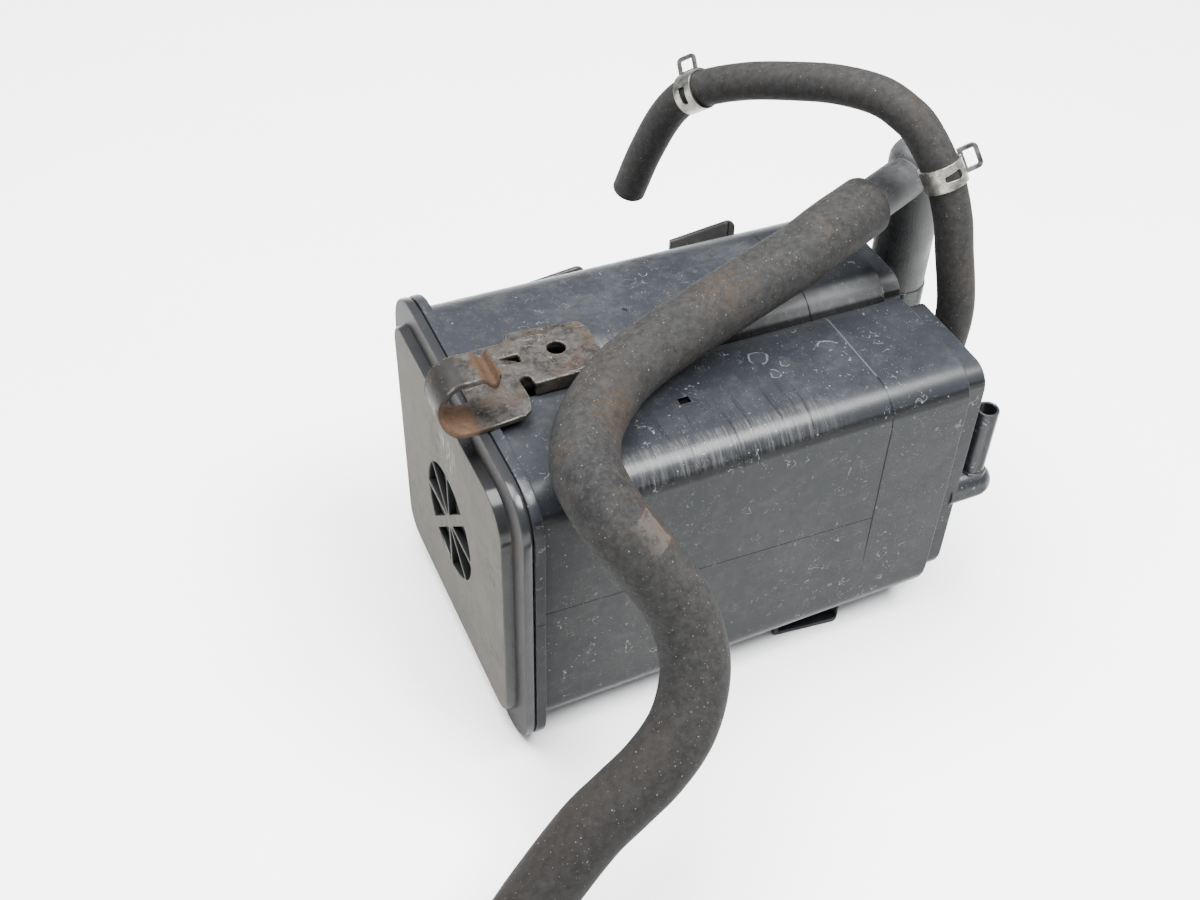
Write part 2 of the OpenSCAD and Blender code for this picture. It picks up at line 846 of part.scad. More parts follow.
// Strip of the hook: its curl leans to the far side and its flared end is rounded
module hook_strip() {
    flare_y = hook_y0 + hook_lean;
    flare_end = flare[0] + steel_t;
    intersection() {
        translate([0, half_y, 0])
            rotate([90, 0, 0])
                linear_extrude(height = 2 * half_y)
                    hook_profile();
        translate([-2 * hook_reach, 0, 0])
            rotate([90, 0, 90])
                linear_extrude(height = 4 * hook_reach)
                    polygon([
                        [hook_y0, flange_h - overlap],
                        [hook_y0 + hook_w, flange_h - overlap],
                        [hook_y0 + hook_w, flange_h + steel_t],
                        [flare_y + hook_w, hook_top + overlap],
                        [flare_y, hook_top + overlap],
                        [hook_y0, flange_h + steel_t]
                    ]);
        translate([0, 0, flange_h - overlap])
            linear_extrude(height = hook_top + 2 * overlap - flange_h)
                polygon([
                    [-2 * hook_reach, -half_y],
                    [flare_end - flare_round, -half_y],
                    [flare_end - flare_round, flare_y],
                    [flare_end - flare_round / 3, flare_y + flare_round / 3],
                    [flare_end, flare_y + flare_round],
                    [flare_end, flare_y + hook_w - flare_round],
                    [flare_end - flare_round, flare_y + hook_w],
                    [flare_end - flare_round, half_y],
                    [-2 * hook_reach, half_y]
                ]);
    }
}

module clip_bracket() {
    leg_foot = top_z(leg_x[0]) + side_gap;
    color(steel_color)
        translate([seam_x, 0, 0])
            union() {
                translate([0, 0, flange_h])
                    linear_extrude(height = steel_t)
                        difference() {
                            polygon(bracket_outline);
                            translate([bolt_hole_x, bolt_hole_y])
                                circle(d = bolt_hole_d);
                            translate([slot_x[0], slot_y[0]])
                                square([slot_x[1] - slot_x[0], slot_y[1] - slot_y[0]]);
                            translate(notch_at)
                                circle(r = notch_r);
                            translate([notch_at[0] - notch_r, 2 * hook_y0])
                                square([2 * notch_r, notch_at[1] - 2 * hook_y0]);
                        }
                hook_strip();
                translate([0, slot_y[1] - side_gap, flange_h])
                    rotate([90, 0, 0])
                        linear_extrude(height = slot_y[1] - slot_y[0] - 2 * side_gap)
                            polygon([
                                [slot_x[0] - overlap, 0],
                                [slot_x[0], 0],
                                [slot_x[1] - side_gap, -tongue_drop],
                                [slot_x[1] - side_gap, steel_t - tongue_drop],
                                [slot_x[0], steel_t],
                                [slot_x[0] - overlap, steel_t]
                            ]);
                translate([leg_x[0], leg_y[0], leg_foot])
                    cube([leg_x[1] - leg_x[0], leg_y[1] - leg_y[0], flange_h + steel_t - leg_foot]);
            }
}

module filter_foam() {
    color(foam_color)
        along_case(panel_in_x + seat_gap, -2 * seat_gap)
            translate([grille_y, -grille_down])
                circle(d = foam_d);
}

module carbon_bed_near() {
    color(carbon_color)
        drafted(bed_x, bed_end)
            near_chamber(side_gap);
}

module carbon_bed_far() {
    color(carbon_color)
        drafted(bed_x, bed_end)
            far_chamber(side_gap);
}

module port_felt_near() {
    color(felt_color)
        along_case(port_felt_x, port_felt_x + felt_t)
            scale(shrink(shoulder_in))
                near_chamber(side_gap);
}

module port_felt_far() {
    color(felt_color)
        along_case(port_felt_x, port_felt_x + felt_t)
            scale(shrink(shoulder_in))
                far_chamber(side_gap);
}

module cover_felt_near() {
    color(felt_color)
        along_case(cover_felt_x, cover_felt_x + felt_t)
            scale(shrink(bed_x))
                near_chamber(side_gap);
}

module cover_felt_far() {
    color(felt_color)
        along_case(cover_felt_x, cover_felt_x + felt_t)
            scale(shrink(bed_x))
                far_chamber(side_gap);
}

// Holes of a pressure plate in rows between its two spring seats
module plate_holes(y) {
    for (row = [-1:1])
        for (side = [-1:1])
            translate([y + side * plate_pitch, row * plate_pitch])
                circle(d = plate_hole_d);
    for (end = [-1, 1])
        for (side = [-1:1])
            translate([y + side * plate_pitch, end * (spring_z + spring_d / 2 + plate_hole_d)])
                circle(d = plate_hole_d);
}

module plate_seats(y) {
    for (side = [-1, 1])
        translate([seam_x + plate_x - spring_seat_h, y, flange_h / 2 + side * spring_z])
            rotate([0, 90, 0])
                cylinder(d = spring_seat_d, h = spring_seat_h + plate_t / 2);
}

module pressure_plate_near() {
    color(plate_color)
        union() {
            along_case(plate_x, plate_x + plate_t)
                difference() {
                    scale(shrink(bed_x))
                        near_chamber(2 * side_gap);
                    plate_holes(near_mid);
                }
            plate_seats(near_mid);
        }
}

module pressure_plate_far() {
    color(plate_color)
        union() {
            along_case(plate_x, plate_x + plate_t)
                difference() {
                    scale(shrink(bed_x))
                        far_chamber(2 * side_gap);
                    plate_holes(far_mid);
                }
            plate_seats(far_mid);
        }
}

module coil_spring(y, side) {
    n = spring_turns * turn_steps;
    r = (spring_d - wire_d) / 2;
    run = spring_len - wire_d;
    path = [
        for (i = [0:n])
            [r * cos(360 * i / turn_steps), r * sin(360 * i / turn_steps), wire_d / 2 + run * i / n]
    ];
    s = wire_sides;
    translate([seam_x + panel_in_x + seat_gap, y, flange_h / 2 + side * spring_z])
        rotate([0, 90, 0])
            polyhedron(
                points = rings(path, wire_d / 2, s),
                faces = concat(
                    skin(n + 1, s, 0, false),
                    [[for (j = [0:s - 1]) j]],
                    [[for (j = [s - 1:-1:0]) n * s + j]]
                )
            );
}

module spring_near_low() {
    color(zinc_color)
        coil_spring(near_mid, -1);
}

module spring_near_high() {
    color(zinc_color)
        coil_spring(near_mid, 1);
}

module spring_far_low() {
    color(zinc_color)
        coil_spring(far_mid, -1);
}

module spring_far_high() {
    color(zinc_color)
        coil_spring(far_mid, 1);
}

case_body();
end_cover();
vent_pipe();
vent_pipe_seal();
wide_hose();
thin_hose();
hose_clamp_lower();
hose_clamp_upper();
clip_bracket();
filter_foam();
carbon_bed_near();
carbon_bed_far();
port_felt_near();
port_felt_far();
cover_felt_near();
cover_felt_far();
pressure_plate_near();
pressure_plate_far();
spring_near_low();
spring_near_high();
spring_far_low();
spring_far_high();
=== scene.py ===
from math import cos, pi, radians, sin

import bmesh
import bpy
from mathutils import Matrix, Vector
from mathutils.geometry import intersect_point_line


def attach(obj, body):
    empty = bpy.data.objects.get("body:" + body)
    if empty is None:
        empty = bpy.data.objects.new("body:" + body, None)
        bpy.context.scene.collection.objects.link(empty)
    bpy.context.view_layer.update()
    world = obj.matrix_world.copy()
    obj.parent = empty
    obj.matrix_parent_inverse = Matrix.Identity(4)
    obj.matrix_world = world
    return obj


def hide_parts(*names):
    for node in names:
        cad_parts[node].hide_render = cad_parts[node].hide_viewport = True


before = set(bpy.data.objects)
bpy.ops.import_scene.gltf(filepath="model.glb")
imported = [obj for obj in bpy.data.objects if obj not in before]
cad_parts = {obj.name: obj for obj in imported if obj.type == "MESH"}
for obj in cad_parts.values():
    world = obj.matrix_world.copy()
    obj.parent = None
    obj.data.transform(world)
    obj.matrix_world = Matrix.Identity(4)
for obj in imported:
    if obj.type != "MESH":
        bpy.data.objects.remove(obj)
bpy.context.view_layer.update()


# Case: one black polypropylene moulding with two lobes, a weld flange, elbow nipples and slide-on lugs.
# It is injection moulded, so fine slide lines cross it, and years under a car left it dusty and scratched.
# Along its near top edge it is rubbed, and there its colour holds a painted highlight over a painted dark reflection.
def without_slivers(bm):
    """Merges the points that coincide and takes out the faces that have no area or hang on nothing."""
    merge = 2e-6
    bmesh.ops.remove_doubles(bm, verts=bm.verts, dist=merge)
    bmesh.ops.dissolve_degenerate(bm, dist=merge, edges=bm.edges)
    loose = [f for f in bm.faces if not any(e.is_manifold for e in f.edges)]
    bmesh.ops.delete(bm, geom=loose, context="FACES")


def folds(bm):
    """Middles of the edges where two faces fold back on each other."""
    fold = radians(120)
    folded = [e for e in bm.edges if not e.is_manifold or e.calc_face_angle(0) > fold]
    return [(e.verts[0].co + e.verts[1].co) / 2 for e in folded]


def eased(bm, reach, crease, crisp):
    """The merged mesh with its outer edges rounded, apart from the crisp spots and those without room for it."""
    flat, trials, room = radians(0.6), 6, 2.5 * reach
    bmesh.ops.dissolve_limit(bm, angle_limit=flat, verts=bm.verts, edges=bm.edges)
    bm.edges.index_update()
    known = len(folds(bm))
    outer = {}
    for edge in bm.edges:
        if edge.is_manifold and edge.calc_face_angle_signed(0) > radians(crease):
            outer[edge.index] = [v.co.copy() for v in edge.verts]
    for spot, radius in crisp:
        outer = {i: ends for i, ends in outer.items() if any((end - Vector(spot)).length > radius for end in ends)}
    for trial in range(trials):
        copy = bm.copy()
        copy.edges.ensure_lookup_table()
        bmesh.ops.bevel(
            copy, geom=[copy.edges[i] for i in sorted(outer)], offset=reach, offset_type="OFFSET", segments=2,
            profile=0.5, affect="EDGES", clamp_overlap=False, material=-1, loop_slide=True,
        )
        tight = folds(copy)
        if len(tight) <= known:
            bm.free()
            return copy
        copy.free()
        for i, (a, b) in list(outer.items()):
            middle, half = (a + b) / 2, (a - b).length / 2
            for spot in tight:
                beside = (intersect_point_line(spot, a, b)[0] - spot).length
                if beside < room and (spot - middle).length < half + room:
                    del outer[i]
                    break
    return bm


def smooth_copy(solid, name, reach, crisp=(), crease=34):
    """A merged copy of a solid that stands for it, with eased edges, shaded smooth up to the crease angle."""
    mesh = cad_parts[solid].data.copy()
    mesh.name = name
    mesh.materials.clear()
    bm = bmesh.new()
    bm.from_mesh(mesh)
    without_slivers(bm)
    bm = eased(bm, reach, crease, crisp)
    bmesh.ops.triangulate(bm, faces=[f for f in bm.faces if len(f.verts) > 4])
    without_slivers(bm)
    for face in bm.faces:
        face.smooth = True
    for edge in bm.edges:
        edge.smooth = edge.is_manifold and edge.calc_face_angle(0) < radians(crease)
    bm.to_mesh(mesh)
    bm.free()
    piece = placed(name, mesh)
    even = piece.modifiers.new("even_normals", "WEIGHTED_NORMAL")
    even.keep_sharp = True
    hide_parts(solid)
    return piece


def placed(name, mesh):
    """A piece made of this mesh, riding on the canister."""
    piece = bpy.data.objects.new(name, mesh)
    bpy.context.scene.collection.objects.link(piece)
    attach(piece, "root")
    return piece


def node(tree, kind, feeds=None, **settings):
    """A shader node with its settings; feeds are its inputs, as sockets to link or plain values."""
    made = tree.nodes.new("ShaderNode" + kind)
    for key, value in settings.items():
        setattr(made, key, value)
    for key, value in (feeds or {}).items():
        if isinstance(value, bpy.types.NodeSocket):
            tree.links.new(value, made.inputs[key])
        else:
            made.inputs[key].default_value = value
    return made


def calc(tree, operation, *values):
    """One step of arithmetic on masks; all but a difference is held between 0 and 1."""
    held = operation != "SUBTRACT"
    return node(tree, "Math", dict(enumerate(values)), operation=operation, use_clamp=held).outputs[0]


def plain(tree, operation, *values):
    """Like calc, but the result isn't held between 0 and 1."""
    return node(tree, "Math", dict(enumerate(values)), operation=operation).outputs[0]


def ramp(tree, value, start, end):
    """Rises softly from 0 at start to 1 at end; start may be the larger."""
    feeds = {"Value": value, "From Min": start, "From Max": end}
    return node(tree, "MapRange", feeds, interpolation_type="SMOOTHSTEP").outputs[0]


def cloud(tree, place, scale, detail=4, rough=0.6):
    """Soft noise between 0 and 1."""
    feeds = {"Vector": place, "Scale": scale, "Detail": detail, "Roughness": rough}
    return node(tree, "TexNoise", feeds).outputs[0]


def mixed(tree, factor, first, second):
    """A colour between two others, each a socket or plain red, green and blue."""
    made = node(tree, "Mix", {0: factor}, data_type="RGBA")
    for index, value in ((6, first), (7, second)):
        if isinstance(value, bpy.types.NodeSocket):
            tree.links.new(value, made.inputs[index])
        else:
            made.inputs[index].default_value = (*value, 1)
    return made.outputs[2]


def level(tree, factor, first, second):
    """A number that goes from first to second with the factor."""
    return node(tree, "MapRange", {"Value": factor, "To Min": first, "To Max": second}).outputs[0]


def coating(name):
    """A new material: its tree, its shader, object coordinates, split coordinates and split normal."""
    material = bpy.data.materials.new(name)
    material.use_nodes = True
    tree = material.node_tree
    place = node(tree, "TexCoord").outputs["Object"]
    axes = node(tree, "SeparateXYZ", {0: place}).outputs
    facing = node(tree, "SeparateXYZ", {0: node(tree, "NewGeometry").outputs["Normal"]}).outputs
    return material, tree, tree.nodes["Principled BSDF"], place, axes, facing


def effect(name, numbers, places=("Vector",), normal=False):
    """A new shader group with a mask and maybe a normal; returns it with its inputs and its mask."""
    group = bpy.data.node_groups.new(name, "ShaderNodeTree")
    for label in places:
        group.interface.new_socket(label, in_out="INPUT", socket_type="NodeSocketVector")
    for label in numbers:
        group.interface.new_socket(label, in_out="INPUT", socket_type="NodeSocketFloat")
    group.interface.new_socket("Mask", in_out="OUTPUT", socket_type="NodeSocketFloat")
    if normal:
        group.interface.new_socket("Normal", in_out="OUTPUT", socket_type="NodeSocketVector")
    given = group.nodes.new("NodeGroupInput").outputs
    return group, given, group.nodes.new("NodeGroupOutput").inputs["Mask"]


def masked(tree, group, **feeds):
    """Places a group in a material with its own values."""
    made = tree.nodes.new("ShaderNodeGroup")
    made.node_tree = group
    for key, value in feeds.items():
        if isinstance(value, bpy.types.NodeSocket):
            tree.links.new(value, made.inputs[key])
        else:
            made.inputs[key].default_value = value
    return made.outputs["Mask"]


# The surface's normal with softened edges, and where those edges are.
worn_edges, given, mask = effect("worn_edges", ("Radius",), (), normal=True)
soft = node(worn_edges, "Bevel", {"Radius": given["Radius"]}, samples=4).outputs[0]
hard = node(worn_edges, "NewGeometry").outputs["Normal"]
same = node(worn_edges, "VectorMath", {0: soft, 1: hard}, operation="DOT_PRODUCT").outputs["Value"]
worn_edges.links.new(ramp(worn_edges, same, 0.985, 0.82), mask)
worn_edges.links.new(soft, mask.node.inputs["Normal"])


def rounded(tree, radius):
    """The normal of softened edges, and a mask of the edges."""
    edges = masked(tree, worn_edges, Radius=radius)
    return edges.node.outputs["Normal"], edges


# An uneven film: broad clouds with a fine grain, thicker with more cover.
dust_film, given, mask = effect("dust_film", ("Scale", "Cover"))
broad = cloud(dust_film, given["Vector"], given["Scale"], 6, 0.62)
grain = cloud(dust_film, given["Vector"], plain(dust_film, "MULTIPLY", given["Scale"], 16), 3, 0.7)
both = plain(dust_film, "MULTIPLY_ADD", grain, 0.35, plain(dust_film, "SUBTRACT", broad, 0.175))
start = plain(dust_film, "MULTIPLY_ADD", given["Cover"], -0.5, 0.72)
dust_film.links.new(ramp(dust_film, both, start, plain(dust_film, "ADD", start, 0.26)), mask)

# Round grains of dirt, each of its own size.
specks, given, mask = effect("specks", ("Scale", "Share", "Size"))
cells = node(specks, "TexVoronoi", {"Vector": given["Vector"], "Scale": given["Scale"]})
chance = node(specks, "SeparateColor", {0: cells.outputs["Color"]}).outputs
size = plain(specks, "MULTIPLY", given["Size"], plain(specks, "MULTIPLY_ADD", chance[1], 0.75, 0.25))
dot = ramp(specks, cells.outputs["Distance"], size, plain(specks, "MULTIPLY", size, 0.5))
specks.links.new(calc(specks, "MULTIPLY", dot, plain(specks, "LESS_THAN", chance[0], given["Share"])), mask)

# Short broken arcs, as grit leaves when it is wiped off.
curls, given, mask = effect("curled_scratches", ("Scale", "Share"))
wander = node(curls, "TexNoise", {"Vector": given["Vector"], "Scale": plain(curls, "MULTIPLY", given["Scale"], 1.6)})
shift = node(curls, "VectorMath", {0: wander.outputs["Color"], 1: (0.5, 0.5, 0.5)}, operation="SUBTRACT").outputs[0]
shift = node(curls, "VectorMath", {0: shift, "Scale": 0.012}, operation="SCALE").outputs[0]
moved = node(curls, "VectorMath", {0: given["Vector"], 1: shift}, operation="ADD").outputs[0]
cells = node(curls, "TexVoronoi", {"Vector": moved, "Scale": given["Scale"]})
chance = node(curls, "SeparateColor", {0: cells.outputs["Color"]}).outputs
ring = plain(curls, "SUBTRACT", cells.outputs["Distance"], plain(curls, "MULTIPLY_ADD", chance[1], 0.3, 0.1))
ring = ramp(curls, plain(curls, "ABSOLUTE", ring), 0.035, 0.008)
broken = ramp(curls, cloud(curls, moved, plain(curls, "MULTIPLY", given["Scale"], 2.2), 2), 0.52, 0.6)
kept = calc(curls, "MULTIPLY", broken, plain(curls, "LESS_THAN", chance[0], given["Share"]))
curls.links.new(calc(curls, "MULTIPLY", ring, kept), mask)

# The dried edge of a drop, broken in places, with a thin film inside it.
drop_mark, given, mask = effect("drop_mark", ("Radius",), ("Vector", "Centre"))
wobble = 0.005
away = node(drop_mark, "VectorMath", {0: given["Vector"], 1: given["Centre"]}, operation="DISTANCE").outputs["Value"]
away = plain(drop_mark, "SUBTRACT", away, wobble / 2)
away = plain(drop_mark, "MULTIPLY_ADD", cloud(drop_mark, given["Vector"], 170, 2), wobble, away)
edge = plain(drop_mark, "ABSOLUTE", plain(drop_mark, "SUBTRACT", away, given["Radius"]))
edge = ramp(drop_mark, edge, 0.00045, 0.0001)
edge = calc(drop_mark, "MULTIPLY", edge, ramp(drop_mark, cloud(drop_mark, given["Vector"], 150, 1), 0.48, 0.6))
film = ramp(drop_mark, away, given["Radius"], plain(drop_mark, "MULTIPLY", given["Radius"], 0.7))
film = plain(drop_mark, "MULTIPLY", film, 0.1)
drop_mark.links.new(calc(drop_mark, "ADD", edge, film), mask)

top_at = 0.1288
bolt_at = (-0.0603, 0.0024)
slide_at = 0.0435
recess_at, recess_half, recess_reach = (-0.0268, -0.034, 0.129), (0.0022, 0.0016, 0.0014), 0.004
case_ease = 0.0006
case = smooth_copy("case_body", "case_moulding", case_ease, [(recess_at, recess_reach)])
case_plastic, tree, shader, place, axes, facing = coating("dusty_case_plastic")
case.data.materials.append(case_plastic)
soft, edges = rounded(tree, 0.0009)
near_face = ramp(tree, facing[1], -0.9, -0.995)
end_face = ramp(tree, facing[0], 0.6, 0.95)
top_face = ramp(tree, facing[2], 0.6, 0.95)
film = masked(tree, dust_film, Vector=place, Scale=24, Cover=0.55)
fine_film = masked(tree, dust_film, Vector=place, Scale=170, Cover=0.5)
smear = calc(tree, "ADD", plain(tree, "MULTIPLY", film, 0.5), plain(tree, "MULTIPLY", fine_film, 0.5))
upright = calc(tree, "MAXIMUM", near_face, end_face)
dust = calc(tree, "MULTIPLY", upright, level(tree, smear, 0.5, 1))
far_lobe = level(tree, ramp(tree, axes[1], -0.012, 0.012), 0.35, 0.55)
dust = calc(tree, "MAXIMUM", dust, calc(tree, "MULTIPLY", calc(tree, "MULTIPLY", top_face, smear), far_lobe))
flank = calc(tree, "MULTIPLY", ramp(tree, facing[1], -0.15, -0.5), ramp(tree, axes[1], -0.0055, -0.0045))
flank = calc(tree, "MULTIPLY", flank, level(tree, smear, 0.6, 1))
dust = calc(tree, "MAXIMUM", dust, flank)
white_specks = masked(tree, specks, Vector=place, Scale=330, Share=0.34, Size=0.14)
fine_specks = masked(tree, specks, Vector=place, Scale=900, Share=0.6, Size=0.22)
white_specks = calc(tree, "MAXIMUM", white_specks, plain(tree, "MULTIPLY", fine_specks, 0.5))
broad_curls, fine_curls = [
    masked(tree, curls, Vector=place, Scale=scale, Share=share) for scale, share in ((120, 0.55), (210, 0.75))
]
scratches = calc(tree, "MAXIMUM", broad_curls, fine_curls)
scratches = calc(tree, "MULTIPLY", scratches, ramp(tree, cloud(tree, place, 20, 2), 0.36, 0.56))
marks = calc(tree, "MAXIMUM", plain(tree, "MULTIPLY", white_specks, 0.6), plain(tree, "MULTIPLY", scratches, 0.5))
for centre, radius in (
    ((0.0085, -0.0235), 0.0032), ((0.036, -0.0265), 0.003), ((0.0165, -0.029), 0.0024),
    ((-0.005, -0.030), 0.002), ((0.0105, -0.0335), 0.0018),
):
    drop = masked(tree, drop_mark, Vector=place, Centre=(*centre, top_at), Radius=radius)
    marks = calc(tree, "MAXIMUM", marks, plain(tree, "MULTIPLY", drop, 0.3))
outward = node(tree, "NewGeometry").outputs["Normal"]
# Near top edge: a band round the slant where the light's highlight falls is lightened, partly rubbed wear and partly
# a painted highlight.
slant = node(tree, "VectorMath", {0: outward, 1: (0, -0.56, 0.83)}, operation="DOT_PRODUCT").outputs["Value"]
band = ramp(tree, slant, 0.82, 0.96)
reach = calc(tree, "MULTIPLY", ramp(tree, axes[0], -0.085, -0.045), ramp(tree, axes[0], 0.034, 0.004))
rub_lines = node(tree, "Mapping", {"Vector": place, "Scale": (1, 0.06, 0.06)}).outputs[0]
rub_and_highlight = ramp(tree, cloud(tree, rub_lines, 900, 6, 0.8), 0.45, 0.6)
rub_and_highlight = calc(tree, "MULTIPLY", calc(tree, "MULTIPLY", band, reach), rub_and_highlight)
streaks = ramp(tree, cloud(tree, rub_lines, 420, 5, 0.75), 0.56, 0.64)
streaks = calc(tree, "MULTIPLY", calc(tree, "MULTIPLY", streaks, reach), ramp(tree, slant, 0.66, 0.8))
streaks = calc(tree, "MULTIPLY", streaks, ramp(tree, axes[1], -0.03, -0.05))
# Painted dark reflection: a band on the near top edge, just below the highlight, is painted nearly black.
dark_reflection_band = calc(tree, "MULTIPLY", ramp(tree, facing[1], -0.82, -0.88), ramp(tree, facing[1], -0.985, -0.945))
dark_reflection_band = calc(tree, "MULTIPLY", dark_reflection_band, ramp(tree, axes[2], 0.09, 0.1))
slide_line = ramp(tree, plain(tree, "ABSOLUTE", plain(tree, "SUBTRACT", axes[0], slide_at)), 0.0004, 0.00015)
slide_line = calc(tree, "MULTIPLY", slide_line, ramp(tree, axes[2], 0.025, 0.07))
raised_line = calc(tree, "MULTIPLY", ramp(tree, axes[1], -0.049, -0.0475), ramp(tree, axes[1], -0.007, -0.009))
raised_line = calc(tree, "MULTIPLY", slide_line, calc(tree, "MULTIPLY", raised_line, top_face))
slide_line = calc(tree, "SUBTRACT", slide_line, raised_line)
part_z = plain(tree, "SUBTRACT", axes[2], plain(tree, "MULTIPLY_ADD", axes[0], -0.0515, 0.071))
part_line = ramp(tree, plain(tree, "ABSOLUTE", part_z), 0.00035, 0.0001)
part_line = calc(tree, "MULTIPLY", calc(tree, "MULTIPLY", part_line, near_face), ramp(tree, axes[0], 0.0437, 0.0433))
lines = calc(tree, "MAXIMUM", slide_line, plain(tree, "MULTIPLY", part_line, 0.8))
tone = mixed(tree, cloud(tree, place, 45, 4), (0.007, 0.0085, 0.0115), (0.015, 0.0165, 0.0195))
tone = mixed(tree, dust, tone, mixed(tree, flank, (0.046, 0.0468, 0.046), (0.115, 0.116, 0.115)))
lug_grime = calc(tree, "MULTIPLY", ramp(tree, axes[1], 0.0635, 0.0645), level(tree, film, 0.2, 0.8))
tone = mixed(tree, lug_grime, tone, (0.03, 0.022, 0.014))
tone = mixed(tree, plain(tree, "MULTIPLY", edges, 0.3), tone, (0.045, 0.045, 0.045))
# Painted dark reflection below the highlight.
tone = mixed(tree, plain(tree, "MULTIPLY", dark_reflection_band, 0.85), tone, (0.0015, 0.0018, 0.0022))
# Painted highlight with rubbed wear: the band along the near top edge is lightened.
tone = mixed(tree, plain(tree, "MULTIPLY", rub_and_highlight, 0.3), tone, (0.12, 0.114, 0.108))
tone = mixed(tree, plain(tree, "MULTIPLY", streaks, 0.6), tone, (0.003, 0.003, 0.003))
tone = mixed(tree, calc(tree, "MAXIMUM", marks, plain(tree, "MULTIPLY", raised_line, 0.17)), tone, (0.2, 0.2, 0.195))
# Painted shade with grime: the case top under the bracket's bolt hole is painted nearly black, together with the dark
# mould lines.
under_bolt = node(tree, "VectorMath", {0: place, 1: (*bolt_at, 0.131)}, operation="DISTANCE").outputs["Value"]
bolt_shade_and_grime = ramp(tree, under_bolt, 0.008, 0.0065)
dark = calc(tree, "MULTIPLY", bolt_shade_and_grime, plain(tree, "GREATER_THAN", axes[2], 0.125))
dark = calc(tree, "MAXIMUM", plain(tree, "MULTIPLY", lines, 0.85), dark)
tree.links.new(mixed(tree, dark, tone, (0.002, 0.002, 0.002)), shader.inputs["Base Color"])
shader.inputs["Specular IOR Level"].default_value = 0.06
shader.inputs["Coat Roughness"].default_value = 0.29
dull = calc(tree, "MAXIMUM", bolt_shade_and_grime, plain(tree, "MULTIPLY", streaks, 0.75))
dull = calc(tree, "MAXIMUM", calc(tree, "MAXIMUM", dust, upright), dull)
bared = calc(tree, "SUBTRACT", 1, dull)
gloss = calc(tree, "MULTIPLY", bared, level(tree, cloud(tree, place, 130, 4), 0.25, 0.55))
tree.links.new(gloss, shader.inputs["Coat Weight"])
tree.links.new(level(tree, dust, 0.5, 0.95), shader.inputs["Roughness"])
skin = plain(tree, "MULTIPLY_ADD", cloud(tree, place, 1400, 2), 0.03, plain(tree, "MULTIPLY", lines, -0.5))
skin = plain(tree, "ADD", skin, plain(tree, "MULTIPLY", scratches, -0.04))
skin = plain(tree, "MULTIPLY_ADD", calc(tree, "MULTIPLY", band, reach), plain(tree, "MULTIPLY", rub_and_highlight, 0.12), skin)
bump = node(tree, "Bump", {"Strength": 0.8, "Distance": 0.0005, "Height": skin, "Normal": soft})
tree.links.new(bump.outputs[0], shader.inputs["Normal"])

# Painted shade: the small recess on the near lobe's top gets a flat, nearly black finish that stands in for the shade
# inside it.
recess_shade, tree, shader, place, axes, facing = coating("painted_recess_shade")
tone = mixed(tree, cloud(tree, place, 300, 3), (0.001, 0.001, 0.001), (0.004, 0.004, 0.004))
tree.links.new(tone, shader.inputs["Base Color"])
shader.inputs["Roughness"].default_value = 1
shader.inputs["Specular IOR Level"].default_value = 0
case.data.materials.append(recess_shade)
for face in case.data.polygons:
    if all(abs(a - b) < half for a, b, half in zip(face.center, recess_at, recess_half)):
        face.material_index = 1


# Filling: felt pads, charcoal granules and sprung pressure plates in each lobe, slid in from the cover's side.
# None of it is seen, and the solids stay, each with the finish of its stuff.
def covered(solids, material):
    """Gives solids that stay as they are their finish."""
    for solid in solids:
        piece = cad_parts[solid]
        piece.data.materials.clear()
        piece.data.materials.append(material)


sides = ("near", "far")
granules, tree, shader, place, axes, facing = coating("charcoal_granules")
cells = node(tree, "TexVoronoi", {"Vector": place, "Scale": 520})
tone = mixed(tree, cells.outputs["Distance"], (0.022, 0.022, 0.023), (0.004, 0.004, 0.004))
tree.links.new(tone, shader.inputs["Base Color"])
tree.links.new(level(tree, cells.outputs["Distance"], 0.45, 0.9), shader.inputs["Roughness"])
bump = node(tree, "Bump", {"Distance": 0.001, "Height": plain(tree, "SUBTRACT", 1, cells.outputs["Distance"])})
tree.links.new(bump.outputs[0], shader.inputs["Normal"])
covered([f"carbon_bed_{side}" for side in sides], granules)

felt, tree, shader, place, axes, facing = coating("pressed_felt")
matted = {"Vector": place, "Scale": 700, "Detail": 6, "Roughness": 0.75, "Distortion": 2.5}
fibres = node(tree, "TexNoise", matted).outputs[0]
tree.links.new(mixed(tree, fibres, (0.36, 0.34, 0.3), (0.62, 0.6, 0.55)), shader.inputs["Base Color"])
tree.links.new(level(tree, fibres, 0.85, 0.98), shader.inputs["Roughness"])
bump = node(tree, "Bump", {"Strength": 0.7, "Distance": 0.0006, "Height": fibres})
tree.links.new(bump.outputs[0], shader.inputs["Normal"])
covered([f"{end}_felt_{side}" for end in ("port", "cover") for side in sides], felt)

natural, tree, shader, place, axes, facing = coating("natural_plate_plastic")
soft = rounded(tree, 0.0004)[0]
haze = cloud(tree, place, 60, 5)
tree.links.new(mixed(tree, haze, (0.56, 0.55, 0.5), (0.7, 0.69, 0.65)), shader.inputs["Base Color"])
tree.links.new(level(tree, haze, 0.4, 0.55), shader.inputs["Roughness"])
bump = node(tree, "Bump", {"Strength": 0.3, "Distance": 0.0003, "Height": cloud(tree, place, 900, 2), "Normal": soft})
tree.links.new(bump.outputs[0], shader.inputs["Normal"])
covered([f"pressure_plate_{side}" for side in sides], natural)

drawn_wire, tree, shader, place, axes, facing = coating("drawn_spring_wire")
shader.inputs["Metallic"].default_value = 1
draw_marks = cloud(tree, place, 420, 5, 0.7)
tree.links.new(mixed(tree, draw_marks, (0.36, 0.36, 0.35), (0.58, 0.58, 0.57)), shader.inputs["Base Color"])
tree.links.new(level(tree, draw_marks, 0.25, 0.45), shader.inputs["Roughness"])
covered([f"spring_{side}_{height}" for side in sides for height in ("low", "high")], drawn_wire)

